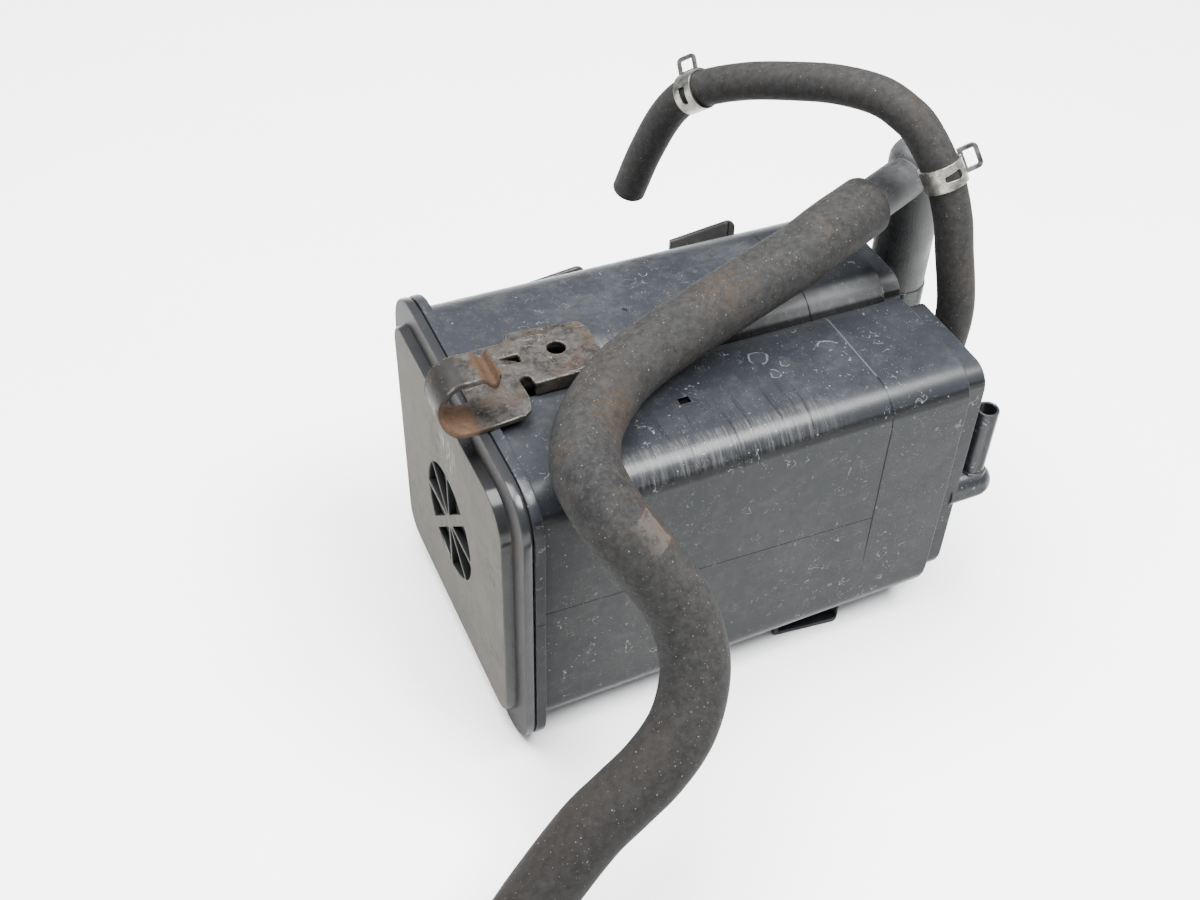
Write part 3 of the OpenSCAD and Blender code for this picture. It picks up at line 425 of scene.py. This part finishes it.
# Filter foam and end cover: open-cell foam keeps grit out of the air that the grille lets in, and the cover is
# a second black moulding, vibration welded to the case's flange. Its face lies under pale road dust.
foam, tree, shader, place, axes, facing = coating("filter_foam")
cells = node(tree, "TexVoronoi", {"Vector": place, "Scale": 900}, feature="DISTANCE_TO_EDGE")
strand = ramp(tree, cells.outputs["Distance"], 0.14, 0.03)
tree.links.new(mixed(tree, strand, (0.003, 0.003, 0.003), (0.02, 0.02, 0.021)), shader.inputs["Base Color"])
tree.links.new(level(tree, strand, 0.98, 0.85), shader.inputs["Roughness"])
bump = node(tree, "Bump", {"Distance": 0.0012, "Height": strand})
tree.links.new(bump.outputs[0], shader.inputs["Normal"])
covered(["filter_foam"], foam)

ledge_at, panel_at = -0.102, -0.1035
cover_ease = 0.0006
cover = smooth_copy("end_cover", "cover_moulding", cover_ease)
cover_plastic, tree, shader, place, axes, facing = coating("dusty_cover_plastic")
cover.data.materials.append(cover_plastic)
soft, edges = rounded(tree, 0.0011)
face = ramp(tree, facing[0], -0.6, -0.92)
film = masked(tree, dust_film, Vector=place, Scale=20, Cover=0.95)
fine_film = masked(tree, dust_film, Vector=place, Scale=90, Cover=0.7)
dust = calc(tree, "MULTIPLY", face, level(tree, film, 0.8, 1))
dust = calc(tree, "MULTIPLY", dust, level(tree, ramp(tree, axes[0], ledge_at, panel_at), 0.04, 1))
dust = calc(tree, "MULTIPLY", dust, level(tree, fine_film, 0.72, 1))
foot = calc(tree, "MULTIPLY", ramp(tree, axes[0], panel_at, -0.1012), ramp(tree, axes[0], -0.1004, -0.1009))
foot = calc(tree, "MULTIPLY", foot, ramp(tree, cloud(tree, place, 60, 5), 0.4, 0.62))
turned = node(tree, "Mapping", {"Vector": place, "Rotation": (radians(28), 0, 0), "Scale": (1, 1, 0.09)}).outputs[0]
strokes = ramp(tree, cloud(tree, turned, 1100, 5, 0.75), 0.53, 0.62)
away = node(tree, "VectorMath", {0: place, 1: (-0.105, -0.002, 0.104)}, operation="DISTANCE").outputs["Value"]
strokes = calc(tree, "MULTIPLY", calc(tree, "MULTIPLY", strokes, face), ramp(tree, away, 0.015, 0.004))
white_specks = masked(tree, specks, Vector=place, Scale=300, Share=0.25, Size=0.12)
tone = mixed(tree, cloud(tree, place, 50, 4), (0.006, 0.0065, 0.008), (0.014, 0.0145, 0.016))
tone = mixed(tree, plain(tree, "MULTIPLY", edges, 0.3), tone, (0.06, 0.06, 0.058))
road_dust = mixed(tree, film, (0.054, 0.05, 0.0415), (0.097, 0.091, 0.077))
tone = mixed(tree, plain(tree, "MULTIPLY", dust, 0.9), tone, road_dust)
tone = mixed(tree, plain(tree, "MULTIPLY", foot, 0.4), tone, (0.026, 0.02, 0.014))
tone = mixed(tree, plain(tree, "MULTIPLY", strokes, 0.7), tone, (0.28, 0.28, 0.27))
tone = mixed(tree, plain(tree, "MULTIPLY", white_specks, 0.5), tone, (0.2, 0.2, 0.19))
tree.links.new(tone, shader.inputs["Base Color"])
shader.inputs["Specular IOR Level"].default_value = 0.06
shader.inputs["Coat Roughness"].default_value = 0.2
bared = calc(tree, "SUBTRACT", 1, calc(tree, "MAXIMUM", dust, plain(tree, "MULTIPLY", face, 0.95)))
gloss = calc(tree, "MULTIPLY", bared, level(tree, cloud(tree, place, 140, 4), 0.3, 0.6))
tree.links.new(gloss, shader.inputs["Coat Weight"])
tree.links.new(level(tree, dust, 0.5, 0.9), shader.inputs["Roughness"])
skin = cloud(tree, place, 1200, 2)
bump = node(tree, "Bump", {"Strength": 0.35, "Distance": 0.0004, "Height": skin, "Normal": soft})
tree.links.new(bump.outputs[0], shader.inputs["Normal"])

# Vent pipe: a separate satin black tee that stands in the case's round socket on a rubber ring.
# Its closed top is domed, and the wide hose is pushed over its branch.
seal_rubber, tree, shader, place, axes, facing = coating("seal_rubber")
haze = cloud(tree, place, 240, 4)
tree.links.new(mixed(tree, haze, (0.012, 0.012, 0.012), (0.028, 0.027, 0.026)), shader.inputs["Base Color"])
tree.links.new(level(tree, haze, 0.55, 0.75), shader.inputs["Roughness"])
covered(["vent_pipe_seal"], seal_rubber)

pipe_ease = 0.0005
pipe = smooth_copy("vent_pipe", "vent_tee", pipe_ease)
pipe_plastic, tree, shader, place, axes, facing = coating("satin_pipe_plastic")
pipe.data.materials.append(pipe_plastic)
soft, edges = rounded(tree, 0.0008)
film = masked(tree, dust_film, Vector=place, Scale=34, Cover=0.8)
white_specks = masked(tree, specks, Vector=place, Scale=330, Share=0.22, Size=0.12)
scratches = masked(tree, curls, Vector=place, Scale=120, Share=0.35)
tone = mixed(tree, cloud(tree, place, 45, 4), (0.007, 0.008, 0.01), (0.014, 0.015, 0.017))
tone = mixed(tree, plain(tree, "MULTIPLY", film, 0.75), tone, (0.036, 0.0365, 0.036))
tone = mixed(tree, plain(tree, "MULTIPLY", edges, 0.3), tone, (0.06, 0.06, 0.06))
marks = calc(tree, "MAXIMUM", plain(tree, "MULTIPLY", white_specks, 0.6), plain(tree, "MULTIPLY", scratches, 0.3))
tree.links.new(mixed(tree, marks, tone, (0.18, 0.18, 0.175)), shader.inputs["Base Color"])
shader.inputs["Specular IOR Level"].default_value = 0.4
satin = plain(tree, "MULTIPLY_ADD", cloud(tree, place, 120, 4), 0.14, level(tree, film, 0.36, 0.6))
tree.links.new(satin, shader.inputs["Roughness"])
skin = cloud(tree, place, 1200, 2)
bump = node(tree, "Bump", {"Strength": 0.3, "Distance": 0.0004, "Height": skin, "Normal": soft})
tree.links.new(bump.outputs[0], shader.inputs["Normal"])


# Hoses: two formed rubber tubes, matte and dusty. The wide one is pushed over the vent pipe's branch and falls
# over the near side to the ground; the thin one stands on an elbow nipple and arches back to a bare cut end.
def flowing(points, steps):
    """A smooth line through the points, with this many steps between each two."""
    points = [Vector(p) / 1000 for p in points]
    ends = [2 * points[0] - points[1], *points, 2 * points[-1] - points[-2]]
    line = []
    for a, b, c, d in zip(ends, ends[1:], ends[2:], ends[3:]):
        for step in range(steps):
            t = step / steps
            line.append(0.5 * (
                2 * b + (c - a) * t + (2 * a - 5 * b + 4 * c - d) * t * t + (3 * b - a - 3 * c + d) * t ** 3
            ))
    return [*line, points[-1]]


def hose(name, route, outside, bore, solid, depth=6):
    """A thick-walled tube along the route, with eased ends and a bore that is closed off out of sight."""
    steps, sides, ease = 7, 40, 0.0004
    line = flowing(route, steps)
    last = len(line) - 1
    around = (line[1] - line[0]).orthogonal().normalized()
    frames = []
    for i, point in enumerate(line):
        ahead = (line[min(i + 1, last)] - line[max(i - 1, 0)]).normalized()
        around = (around - ahead * around.dot(ahead)).normalized()
        frames.append((point, ahead, around))
    lip = [
        (bore, ease / 2), (bore + ease / 2, 0), (outside - ease, 0), (outside - ease / 3, ease / 3), (outside, ease),
    ]
    stations = [(i, bore, 0) for i in range(depth, 0, -1)]
    stations += [(0, radius, slip) for radius, slip in lip]
    stations += [(i, outside, 0) for i in range(1, last)]
    stations += [(last, radius, -slip) for radius, slip in reversed(lip)]
    stations += [(last - i, bore, 0) for i in range(1, depth)]
    bm = bmesh.new()
    before = None
    for i, radius, slip in stations:
        point, ahead, around = frames[i]
        beside = ahead.cross(around)
        now = Matrix((around * radius, beside * radius, ahead)).transposed().to_4x4()
        now.translation = point + ahead * slip
        if before is None:
            ring = bmesh.ops.create_circle(bm, segments=sides, radius=1, matrix=now)["verts"]
            bm.faces.new(ring)
            edges_now = list({e for v in ring for e in v.link_edges})
        else:
            grown = bmesh.ops.extrude_edge_only(bm, edges=edges_now)["geom"]
            ring = [g for g in grown if isinstance(g, bmesh.types.BMVert)]
            edges_now = [g for g in grown if isinstance(g, bmesh.types.BMEdge) and all(v in ring for v in g.verts)]
            bmesh.ops.transform(bm, matrix=now @ before.inverted(), verts=ring)
        before = now
    bmesh.ops.contextual_create(bm, geom=edges_now)
    bmesh.ops.recalc_face_normals(bm, faces=bm.faces)
    for face in bm.faces:
        face.smooth = True
    for edge in bm.edges:
        edge.smooth = edge.calc_face_angle(0) < radians(22)
    mesh = bpy.data.meshes.new(name)
    bm.to_mesh(mesh)
    bm.free()
    piece = placed(name, mesh)
    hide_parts(solid)
    return piece, line


def rubber(name, dark, light, speck_share):
    """Matte hose rubber with mottling, brown grime and pale grit; returns the parts that more can be laid on."""
    material, tree, shader, place, axes, facing = coating(name)
    grime = masked(tree, dust_film, Vector=place, Scale=26, Cover=0.4)
    pale = masked(tree, dust_film, Vector=place, Scale=170, Cover=0.4)
    grit = masked(tree, specks, Vector=place, Scale=520, Share=speck_share, Size=0.2)
    fine = masked(tree, specks, Vector=place, Scale=1000, Share=0.45, Size=0.24)
    tone = mixed(tree, ramp(tree, cloud(tree, place, 380, 6, 0.75), 0.25, 0.75), dark, light)
    tone = mixed(tree, plain(tree, "MULTIPLY", grime, 0.5), tone, (0.026, 0.019, 0.014))
    tone = mixed(tree, plain(tree, "MULTIPLY", pale, 0.4), tone, (0.038, 0.036, 0.034))
    # The tone is darker towards the bottom.
    tone = mixed(tree, plain(tree, "MULTIPLY", ramp(tree, axes[2], 0.11, 0.06), 0.4), tone, (0.006, 0.0055, 0.005))
    tone = mixed(tree, plain(tree, "MULTIPLY", fine, 0.7), tone, (0.105, 0.095, 0.086))
    tone = mixed(tree, plain(tree, "MULTIPLY", grit, 0.6), tone, (0.15, 0.14, 0.125))
    shader.inputs["Specular IOR Level"].default_value = 0.08
    tree.links.new(level(tree, pale, 0.72, 0.88), shader.inputs["Roughness"])
    skin = cloud(tree, place, 1500, 3, 0.7)
    rough_skin = plain(tree, "MULTIPLY_ADD", skin, 0.5, plain(tree, "MULTIPLY", grit, 0.4))
    bump = node(tree, "Bump", {"Strength": 0.5, "Distance": 0.0004, "Height": rough_skin})
    tree.links.new(bump.outputs[0], shader.inputs["Normal"])
    return material, tree, shader, place, tone


wide_outside, wide_bore = 0.01175, 0.00906
wide_route = [
    (69.2, 10.8, 157.5), (59.6, 6.6, 157.5), (48.6, 1.8, 157.5), (32, -4.2, 155), (10, -9.6, 151.5),
    (-10, -14, 147.5), (-31, -19.5, 144), (-47, -26.5, 142.5), (-60, -36.5, 142), (-70, -48, 142),
    (-76.5, -61, 142), (-78, -72, 140.5), (-75, -83.5, 134), (-67, -92.5, 121), (-60, -101, 107),
    (-58, -110, 93), (-61, -117, 82), (-68.5, -124, 72.5), (-80, -129, 64.5), (-93, -132, 57.5),
    (-106, -135, 50.5), (-126, -142, 36), (-146, -150, 21), (-168, -157, 13), (-190, -162, 12),
]
wide, wide_line = hose("wide_rubber_hose", wide_route, wide_outside, wide_bore, "wide_hose")
wide_rubber, tree, shader, place, tone = rubber(
    "wide_hose_rubber", (0.0102, 0.01, 0.0099), (0.0248, 0.0242, 0.0236), 0.4,
)
wide.data.materials.append(wide_rubber)
for spot, radius, colour, strength in (
    ((-0.084, -0.062, 0.150), 0.006, (0.04, 0.026, 0.015), 0.5),
    ((-0.087, -0.075, 0.145), 0.005, (0.045, 0.036, 0.028), 0.45),
    ((0.040, -0.008, 0.167), 0.006, (0.045, 0.034, 0.023), 0.4),
    ((-0.004, -0.016, 0.160), 0.014, (0.034, 0.023, 0.015), 0.5),
    ((-0.0600, -0.052, 0.146), 0.015, (0.034, 0.022, 0.013), 0.5),
    ((-0.080, -0.076, 0.150), 0.017, (0.0075, 0.008, 0.0095), 0.75),
):
    away = node(tree, "VectorMath", {0: place, 1: spot}, operation="DISTANCE").outputs["Value"]
    away = plain(tree, "SUBTRACT", away, radius * 1.1)
    away = plain(tree, "MULTIPLY_ADD", cloud(tree, place, 150, 5, 0.7), radius * 2.2, away)
    stain = ramp(tree, away, radius, radius * 0.4)
    stain = calc(tree, "MULTIPLY", stain, ramp(tree, cloud(tree, place, 420, 5, 0.75), 0.4, 0.6))
    stain = plain(tree, "MULTIPLY", stain, strength)
    tone = mixed(tree, stain, tone, colour)
patch_at = (-0.0676, -0.0941, 0.1377)
patch_half = (0.007, 0.0052)
patch_ways = ((0.452, -0.508, -0.734), (-0.85, -0.483, -0.19), (0.306, -0.763, 0.571))
patch = node(tree, "VectorMath", {0: place, 1: patch_at}, operation="SUBTRACT").outputs[0]
run, across, lift = [
    node(tree, "VectorMath", {0: patch, 1: way}, operation="DOT_PRODUCT").outputs["Value"] for way in patch_ways
]
torn = plain(tree, "MULTIPLY_ADD", cloud(tree, place, 260, 5, 0.7), 0.005, -0.0025)
scraped = ramp(tree, cloud(tree, place, 330, 5, 0.75), 0.34, 0.52)
scraped = calc(tree, "MULTIPLY", ramp(tree, lift, -0.006, -0.004), scraped)
for grow, share, colour in (
    (0.0014, level(tree, ramp(tree, across, 0.001, -0.004), 0, 0.75), (0.03, 0.017, 0.009)),
    (0, level(tree, ramp(tree, across, 0.0055, -0.001), 0.35, 1), (0.046, 0.0385, 0.0345)),
):
    left_on = calc(tree, "MULTIPLY", scraped, share)
    for distance, reach in zip((run, across), patch_half):
        beyond = plain(tree, "ADD", plain(tree, "ABSOLUTE", distance), torn)
        left_on = calc(tree, "MULTIPLY", left_on, ramp(tree, beyond, reach + grow, reach + grow - 0.0006))
    tone = mixed(tree, left_on, tone, colour)
tree.links.new(tone, shader.inputs["Base Color"])

thin_outside, thin_bore = 0.0072, 0.00465
thin_route = [
    (97, -20, 75), (97, -20, 101), (97, -20, 124), (94.2, -15.2, 148), (92.4, -12, 162), (89, -6, 177),
    (83.5, 3.5, 190.5), (79.5, 10.5, 195.5), (74, 20, 198.5), (66, 34, 197), (57.5, 48.5, 192.5),
    (45.5, 69, 184), (35, 87.5, 172), (29, 98, 158), (24, 107, 135.5), (20, 113.5, 113),
]
thin, thin_line = hose("thin_rubber_hose", thin_route, thin_outside, thin_bore, "thin_hose", depth=9)
thin_rubber, tree, shader, place, tone = rubber(
    "thin_hose_rubber", (0.0118, 0.0115, 0.0113), (0.0258, 0.025, 0.0244), 0.15,
)
thin.data.materials.append(thin_rubber)
tree.links.new(tone, shader.inputs["Base Color"])


# Spring clamps: two bands of zinc-plated spring steel on the thin hose, each pierced by a tapering slot, with an
# open square ear that a pair of pliers squeezes and a short second ear.
def plated(name, dark, light):
    """Zinc-plated steel between a dark and a light tone, with brown stains."""
    material, tree, shader, place, axes, facing = coating(name)
    shader.inputs["Metallic"].default_value = 1
    soft = rounded(tree, 0.0003)[0]
    stain = masked(tree, dust_film, Vector=place, Scale=120, Cover=0.42)
    spangle = cloud(tree, place, 300, 4, 0.7)
    tone = mixed(tree, ramp(tree, spangle, 0.35, 0.65), dark, light)
    tone = mixed(tree, plain(tree, "MULTIPLY", stain, 0.6), tone, (0.2, 0.155, 0.075))
    tone = mixed(tree, plain(tree, "MULTIPLY", ramp(tree, axes[1], 0.04, 0.06), 0.45), tone, (0.05, 0.05, 0.048))
    tree.links.new(tone, shader.inputs["Base Color"])
    polish = plain(tree, "MULTIPLY_ADD", spangle, 0.2, level(tree, stain, 0.26, 0.45))
    tree.links.new(polish, shader.inputs["Roughness"])
    bump = node(tree, "Bump", {"Strength": 0.25, "Distance": 0.0002, "Height": spangle, "Normal": soft})
    tree.links.new(bump.outputs[0], shader.inputs["Normal"])
    return material


band_zinc = plated("zinc_plate", (0.18, 0.178, 0.16), (0.46, 0.45, 0.4))
ear_zinc = plated("dull_zinc_plate", (0.08, 0.08, 0.08), (0.22, 0.22, 0.21))


def band_clamp(name, solid, index, slot_from):
    """A band round the thin hose at a route point; its ears turn as the solid's do, its slot starts at this angle."""
    inside, steel, width = 0.0073, 0.0009, 0.009
    slot_turn, turns, weld = radians(54), 180, 1e-6
    wide_half, taper, narrow_half = 0.0016, 0.0008, 0.0003
    ear_round, ear_frame, sunk, ear_starts = 0.0022, 0.0017, 0.0006, 0.004
    centre = Vector(thin_route[index]) / 1000
    ahead = (Vector(thin_route[index + 1]) - Vector(thin_route[index - 1])).normalized()
    out = Vector()
    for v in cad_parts[solid].data.vertices:
        arm = v.co - centre
        arm -= ahead * arm.dot(ahead)
        if arm.length > inside + ear_starts:
            out += arm
    out.normalize()
    seat = Matrix((out, out.cross(ahead), ahead)).transposed().to_4x4()
    seat.translation = centre
    bm = bmesh.new()
    bmesh.ops.create_grid(bm, x_segments=turns, y_segments=3, size=1)
    hole = set()
    for v in bm.verts:
        turn = (v.co.x + 1) * pi
        inner = abs(v.co.y) < 0.5
        at = (turn - radians(slot_from)) / slot_turn
        half = narrow_half
        if 0 < at < 1:
            half += (wide_half - taper * at) * min(1, 8 * at, 12 - 12 * at) ** 0.5
        across = (half if inner else width / 2) * (1 if v.co.y > 0 else -1)
        v.co = (inside * cos(turn), inside * sin(turn), across)
        if inner and 0.01 < at < 0.99:
            hole.add(v)
    bmesh.ops.delete(bm, geom=[f for f in bm.faces if all(v in hole for v in f.verts)], context="FACES")
    bmesh.ops.remove_doubles(bm, verts=bm.verts, dist=weld)
    bmesh.ops.recalc_face_normals(bm, faces=bm.faces)
    bmesh.ops.solidify(bm, geom=bm.faces, thickness=-steel)
    reach = inside + steel
    for turn, tall, length, place_z, window in (
        (0, 0.0070, 0.010, 0.002, True),
        (-52, 0.0026, 0.0052, 0.0015, False),
    ):
        sheet = bmesh.new()
        corners = bmesh.ops.create_grid(sheet, x_segments=1, y_segments=1, size=0.5)["verts"]
        bmesh.ops.scale(sheet, vec=(tall + sunk, length, 1), verts=corners)
        outer = [v for v in corners if v.co.x > 0]
        bmesh.ops.bevel(
            sheet, geom=outer, offset=ear_round, affect="VERTICES", segments=4, profile=0.5, material=-1,
        )
        if window:
            inset = bmesh.ops.inset_region(
                sheet, faces=sheet.faces[:], thickness=ear_frame, use_boundary=True, use_even_offset=True,
            )["faces"]
            bmesh.ops.delete(sheet, geom=[f for f in sheet.faces if f not in inset], context="FACES")
        bmesh.ops.solidify(sheet, geom=sheet.faces, thickness=steel)
        stand = Matrix.Rotation(radians(turn), 4, "Z")
        stand = stand @ Matrix.Translation((reach + tall / 2 - sunk, -steel / 2, place_z))
        stand = stand @ Matrix.Rotation(pi / 2, 4, "X")
        bmesh.ops.transform(sheet, matrix=stand, verts=sheet.verts)
        for face in sheet.faces:
            face.material_index = 1
        scrap = bpy.data.meshes.new("ear")
        sheet.to_mesh(scrap)
        sheet.free()
        bm.from_mesh(scrap)
        bpy.data.meshes.remove(scrap)
    bmesh.ops.transform(bm, matrix=seat, verts=bm.verts)
    bmesh.ops.recalc_face_normals(bm, faces=bm.faces)
    for face in bm.faces:
        face.smooth = True
    for edge in bm.edges:
        edge.smooth = edge.is_manifold and edge.calc_face_angle(0) < radians(34)
    mesh = bpy.data.meshes.new(name)
    bm.to_mesh(mesh)
    bm.free()
    mesh.materials.append(band_zinc)
    mesh.materials.append(ear_zinc)
    piece = placed(name, mesh)
    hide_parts(solid)
    return piece


clamps = [
    band_clamp("spring_clamp_lower", "hose_clamp_lower", 5, 46),
    band_clamp("spring_clamp_upper", "hose_clamp_upper", 12, 78),
]

# Clip bracket: a pressed strip of bare steel on top of the flange, with a bolt hole and a hook for a fuel line.
# Its grey mill skin has gone brown, and the hook and the cut edges are rusty.
bracket_ease = 0.0004
bracket = smooth_copy("clip_bracket", "clip_strip", bracket_ease)
rusty_steel, tree, shader, place, axes, facing = coating("rusty_strip_steel")
bracket.data.materials.append(rusty_steel)
soft, edges = rounded(tree, 0.001)
shader.inputs["Specular IOR Level"].default_value = 0.15
broad = cloud(tree, place, 75, 6, 0.68)
dent = calc(tree, "MULTIPLY", ramp(tree, axes[0], -0.1005, -0.0965), ramp(tree, axes[2], 0.1455, 0.148))
trough = calc(tree, "MULTIPLY", ramp(tree, axes[0], -0.097, -0.1035), ramp(tree, axes[2], 0.1465, 0.141))
hole = node(tree, "VectorMath", {0: place, 1: (*bolt_at, 0.136)}, operation="DISTANCE").outputs["Value"]
hole = calc(tree, "MULTIPLY", ramp(tree, hole, 0.0062, 0.0036), ramp(tree, axes[1], 0.0025, 0.0045))
curl = calc(tree, "MULTIPLY", ramp(tree, axes[0], -0.1015, -0.1045), ramp(tree, axes[2], 0.1445, 0.149))
spots = calc(tree, "MAXIMUM", dent, calc(tree, "MAXIMUM", trough, plain(tree, "MULTIPLY", hole, 0.55)))
rust = plain(tree, "MULTIPLY_ADD", spots, 0.24, broad)
rust = plain(tree, "MULTIPLY_ADD", edges, plain(tree, "MULTIPLY", ramp(tree, axes[0], -0.088, -0.096), 0.2), rust)
rust = plain(tree, "MULTIPLY_ADD", plain(tree, "SUBTRACT", cloud(tree, place, 330, 5, 0.75), 0.5), 0.45, rust)
rust = plain(tree, "MULTIPLY_ADD", ramp(tree, axes[0], -0.1085, -0.1115), 0.16, rust)
rust = ramp(tree, plain(tree, "MULTIPLY_ADD", curl, -0.06, rust), 0.56, 0.76)
flake = cloud(tree, place, 420, 5, 0.7)
orange = mixed(tree, flake, (0.009, 0.0048, 0.0032), (0.044, 0.0225, 0.012))
fresh = calc(tree, "MAXIMUM", trough, plain(tree, "MULTIPLY", dent, 0.25))
orange = mixed(tree, fresh, orange, mixed(tree, flake, (0.021, 0.0125, 0.0085), (0.105, 0.06, 0.036)))
mill_skin = ramp(tree, cloud(tree, place, 210, 6, 0.75), 0.3, 0.7)
steel = mixed(tree, mill_skin, (0.009, 0.0085, 0.0078), (0.052, 0.049, 0.045))
browned = plain(tree, "MULTIPLY", ramp(tree, cloud(tree, place, 95, 5, 0.7), 0.46, 0.62), 0.5)
steel = mixed(tree, browned, steel, (0.044, 0.031, 0.021))
# Painted shade: the hook's curl is painted a darker steel.
steel = mixed(tree, plain(tree, "MULTIPLY", curl, 0.85), steel, (0.0135, 0.0132, 0.0128))
drawn = node(tree, "Mapping", {"Vector": place, "Rotation": (0, 0, radians(24)), "Scale": (0.12, 1, 1)}).outputs[0]
scores = ramp(tree, cloud(tree, drawn, 900, 4, 0.7), 0.6, 0.68)
scores = calc(tree, "MULTIPLY", scores, ramp(tree, cloud(tree, place, 110, 3), 0.5, 0.62))
bare = calc(tree, "MAXIMUM", scores, masked(tree, curls, Vector=place, Scale=170, Share=0.6))
steel = mixed(tree, plain(tree, "MULTIPLY", bare, 0.7), steel, (0.15, 0.145, 0.138))
pitted = masked(tree, specks, Vector=place, Scale=420, Share=0.3, Size=0.18)
steel = mixed(tree, pitted, steel, (0.003, 0.003, 0.003))
worn = calc(tree, "MULTIPLY", edges, ramp(tree, cloud(tree, place, 240, 4, 0.7), 0.42, 0.56))
steel = mixed(tree, plain(tree, "MULTIPLY", worn, 0.8), steel, (0.2, 0.19, 0.175))
tree.links.new(mixed(tree, rust, steel, orange), shader.inputs["Base Color"])
tree.links.new(level(tree, rust, 0.45, 0.05), shader.inputs["Metallic"])
tree.links.new(plain(tree, "MULTIPLY_ADD", flake, 0.2, level(tree, rust, 0.38, 0.7)), shader.inputs["Roughness"])
pits = plain(tree, "MULTIPLY_ADD", flake, level(tree, rust, 0.15, 0.7), plain(tree, "MULTIPLY", broad, 0.3))
bump = node(tree, "Bump", {"Strength": 0.6, "Distance": 0.0005, "Height": pits, "Normal": soft})
tree.links.new(bump.outputs[0], shader.inputs["Normal"])

# Stage: a pale floor, one large soft light from the viewer's right, one above, and a bright ceiling over duller
# walls. The camera stands where the photograph was taken from.
floor_half = 20
bm = bmesh.new()
bmesh.ops.create_grid(bm, x_segments=1, y_segments=1, size=floor_half)
mesh = bpy.data.meshes.new("floor")
bm.to_mesh(mesh)
bm.free()
floor = bpy.data.objects.new("floor", mesh)
bpy.context.scene.collection.objects.link(floor)
paper, tree, shader, place, axes, facing = coating("pale_floor")
tone = mixed(tree, cloud(tree, place, 9, 4), (0.9, 0.9, 0.89), (0.94, 0.94, 0.935))
tree.links.new(tone, shader.inputs["Base Color"])
shader.inputs["Roughness"].default_value = 0.7
floor.data.materials.append(paper)

middle = Vector((0, 0, 0.07))
for name, spot, size, power in (("key", (0.52, -0.52, 1.5), 0.8, 85), ("top", (-0.3, 0.25, 1.7), 1.4, 130)):
    light = bpy.data.lights.new(name, "AREA")
    light.shape = "DISK"
    light.size = size
    light.energy = power
    lamp = bpy.data.objects.new(name, light)
    lamp.location = spot
    lamp.rotation_mode = "QUATERNION"
    lamp.rotation_quaternion = (middle - Vector(spot)).to_track_quat("-Z", "Y")
    bpy.context.scene.collection.objects.link(lamp)

world = bpy.data.worlds.new("room")
world.use_nodes = True
tree = world.node_tree
upward = node(tree, "SeparateXYZ", {0: node(tree, "TexCoord").outputs["Generated"]}).outputs[2]
wall, ceiling = (0.46, 0.47, 0.48), (0.75, 0.79, 0.84)
tree.links.new(mixed(tree, ramp(tree, upward, 0.05, 0.55), wall, ceiling), tree.nodes["Background"].inputs["Color"])
bpy.context.scene.world = world

lens = bpy.data.cameras.new("camera")
lens.sensor_fit = "HORIZONTAL"
lens.sensor_width = 36
lens.lens = 43.8
lens.clip_start, lens.clip_end = 0.01, 60
camera = bpy.data.objects.new("camera", lens)
right = Vector((0.91474, -0.4034, 0.02269))
down = Vector((-0.26586, -0.64324, -0.71803))
forward = Vector((0.30424, 0.65078, -0.69565))
look = Matrix((right, -down, -forward)).transposed().to_4x4()
look.translation = (-0.2143, -0.3667, 0.4725)
camera.matrix_world = look
bpy.context.scene.collection.objects.link(camera)
bpy.context.scene.camera = camera
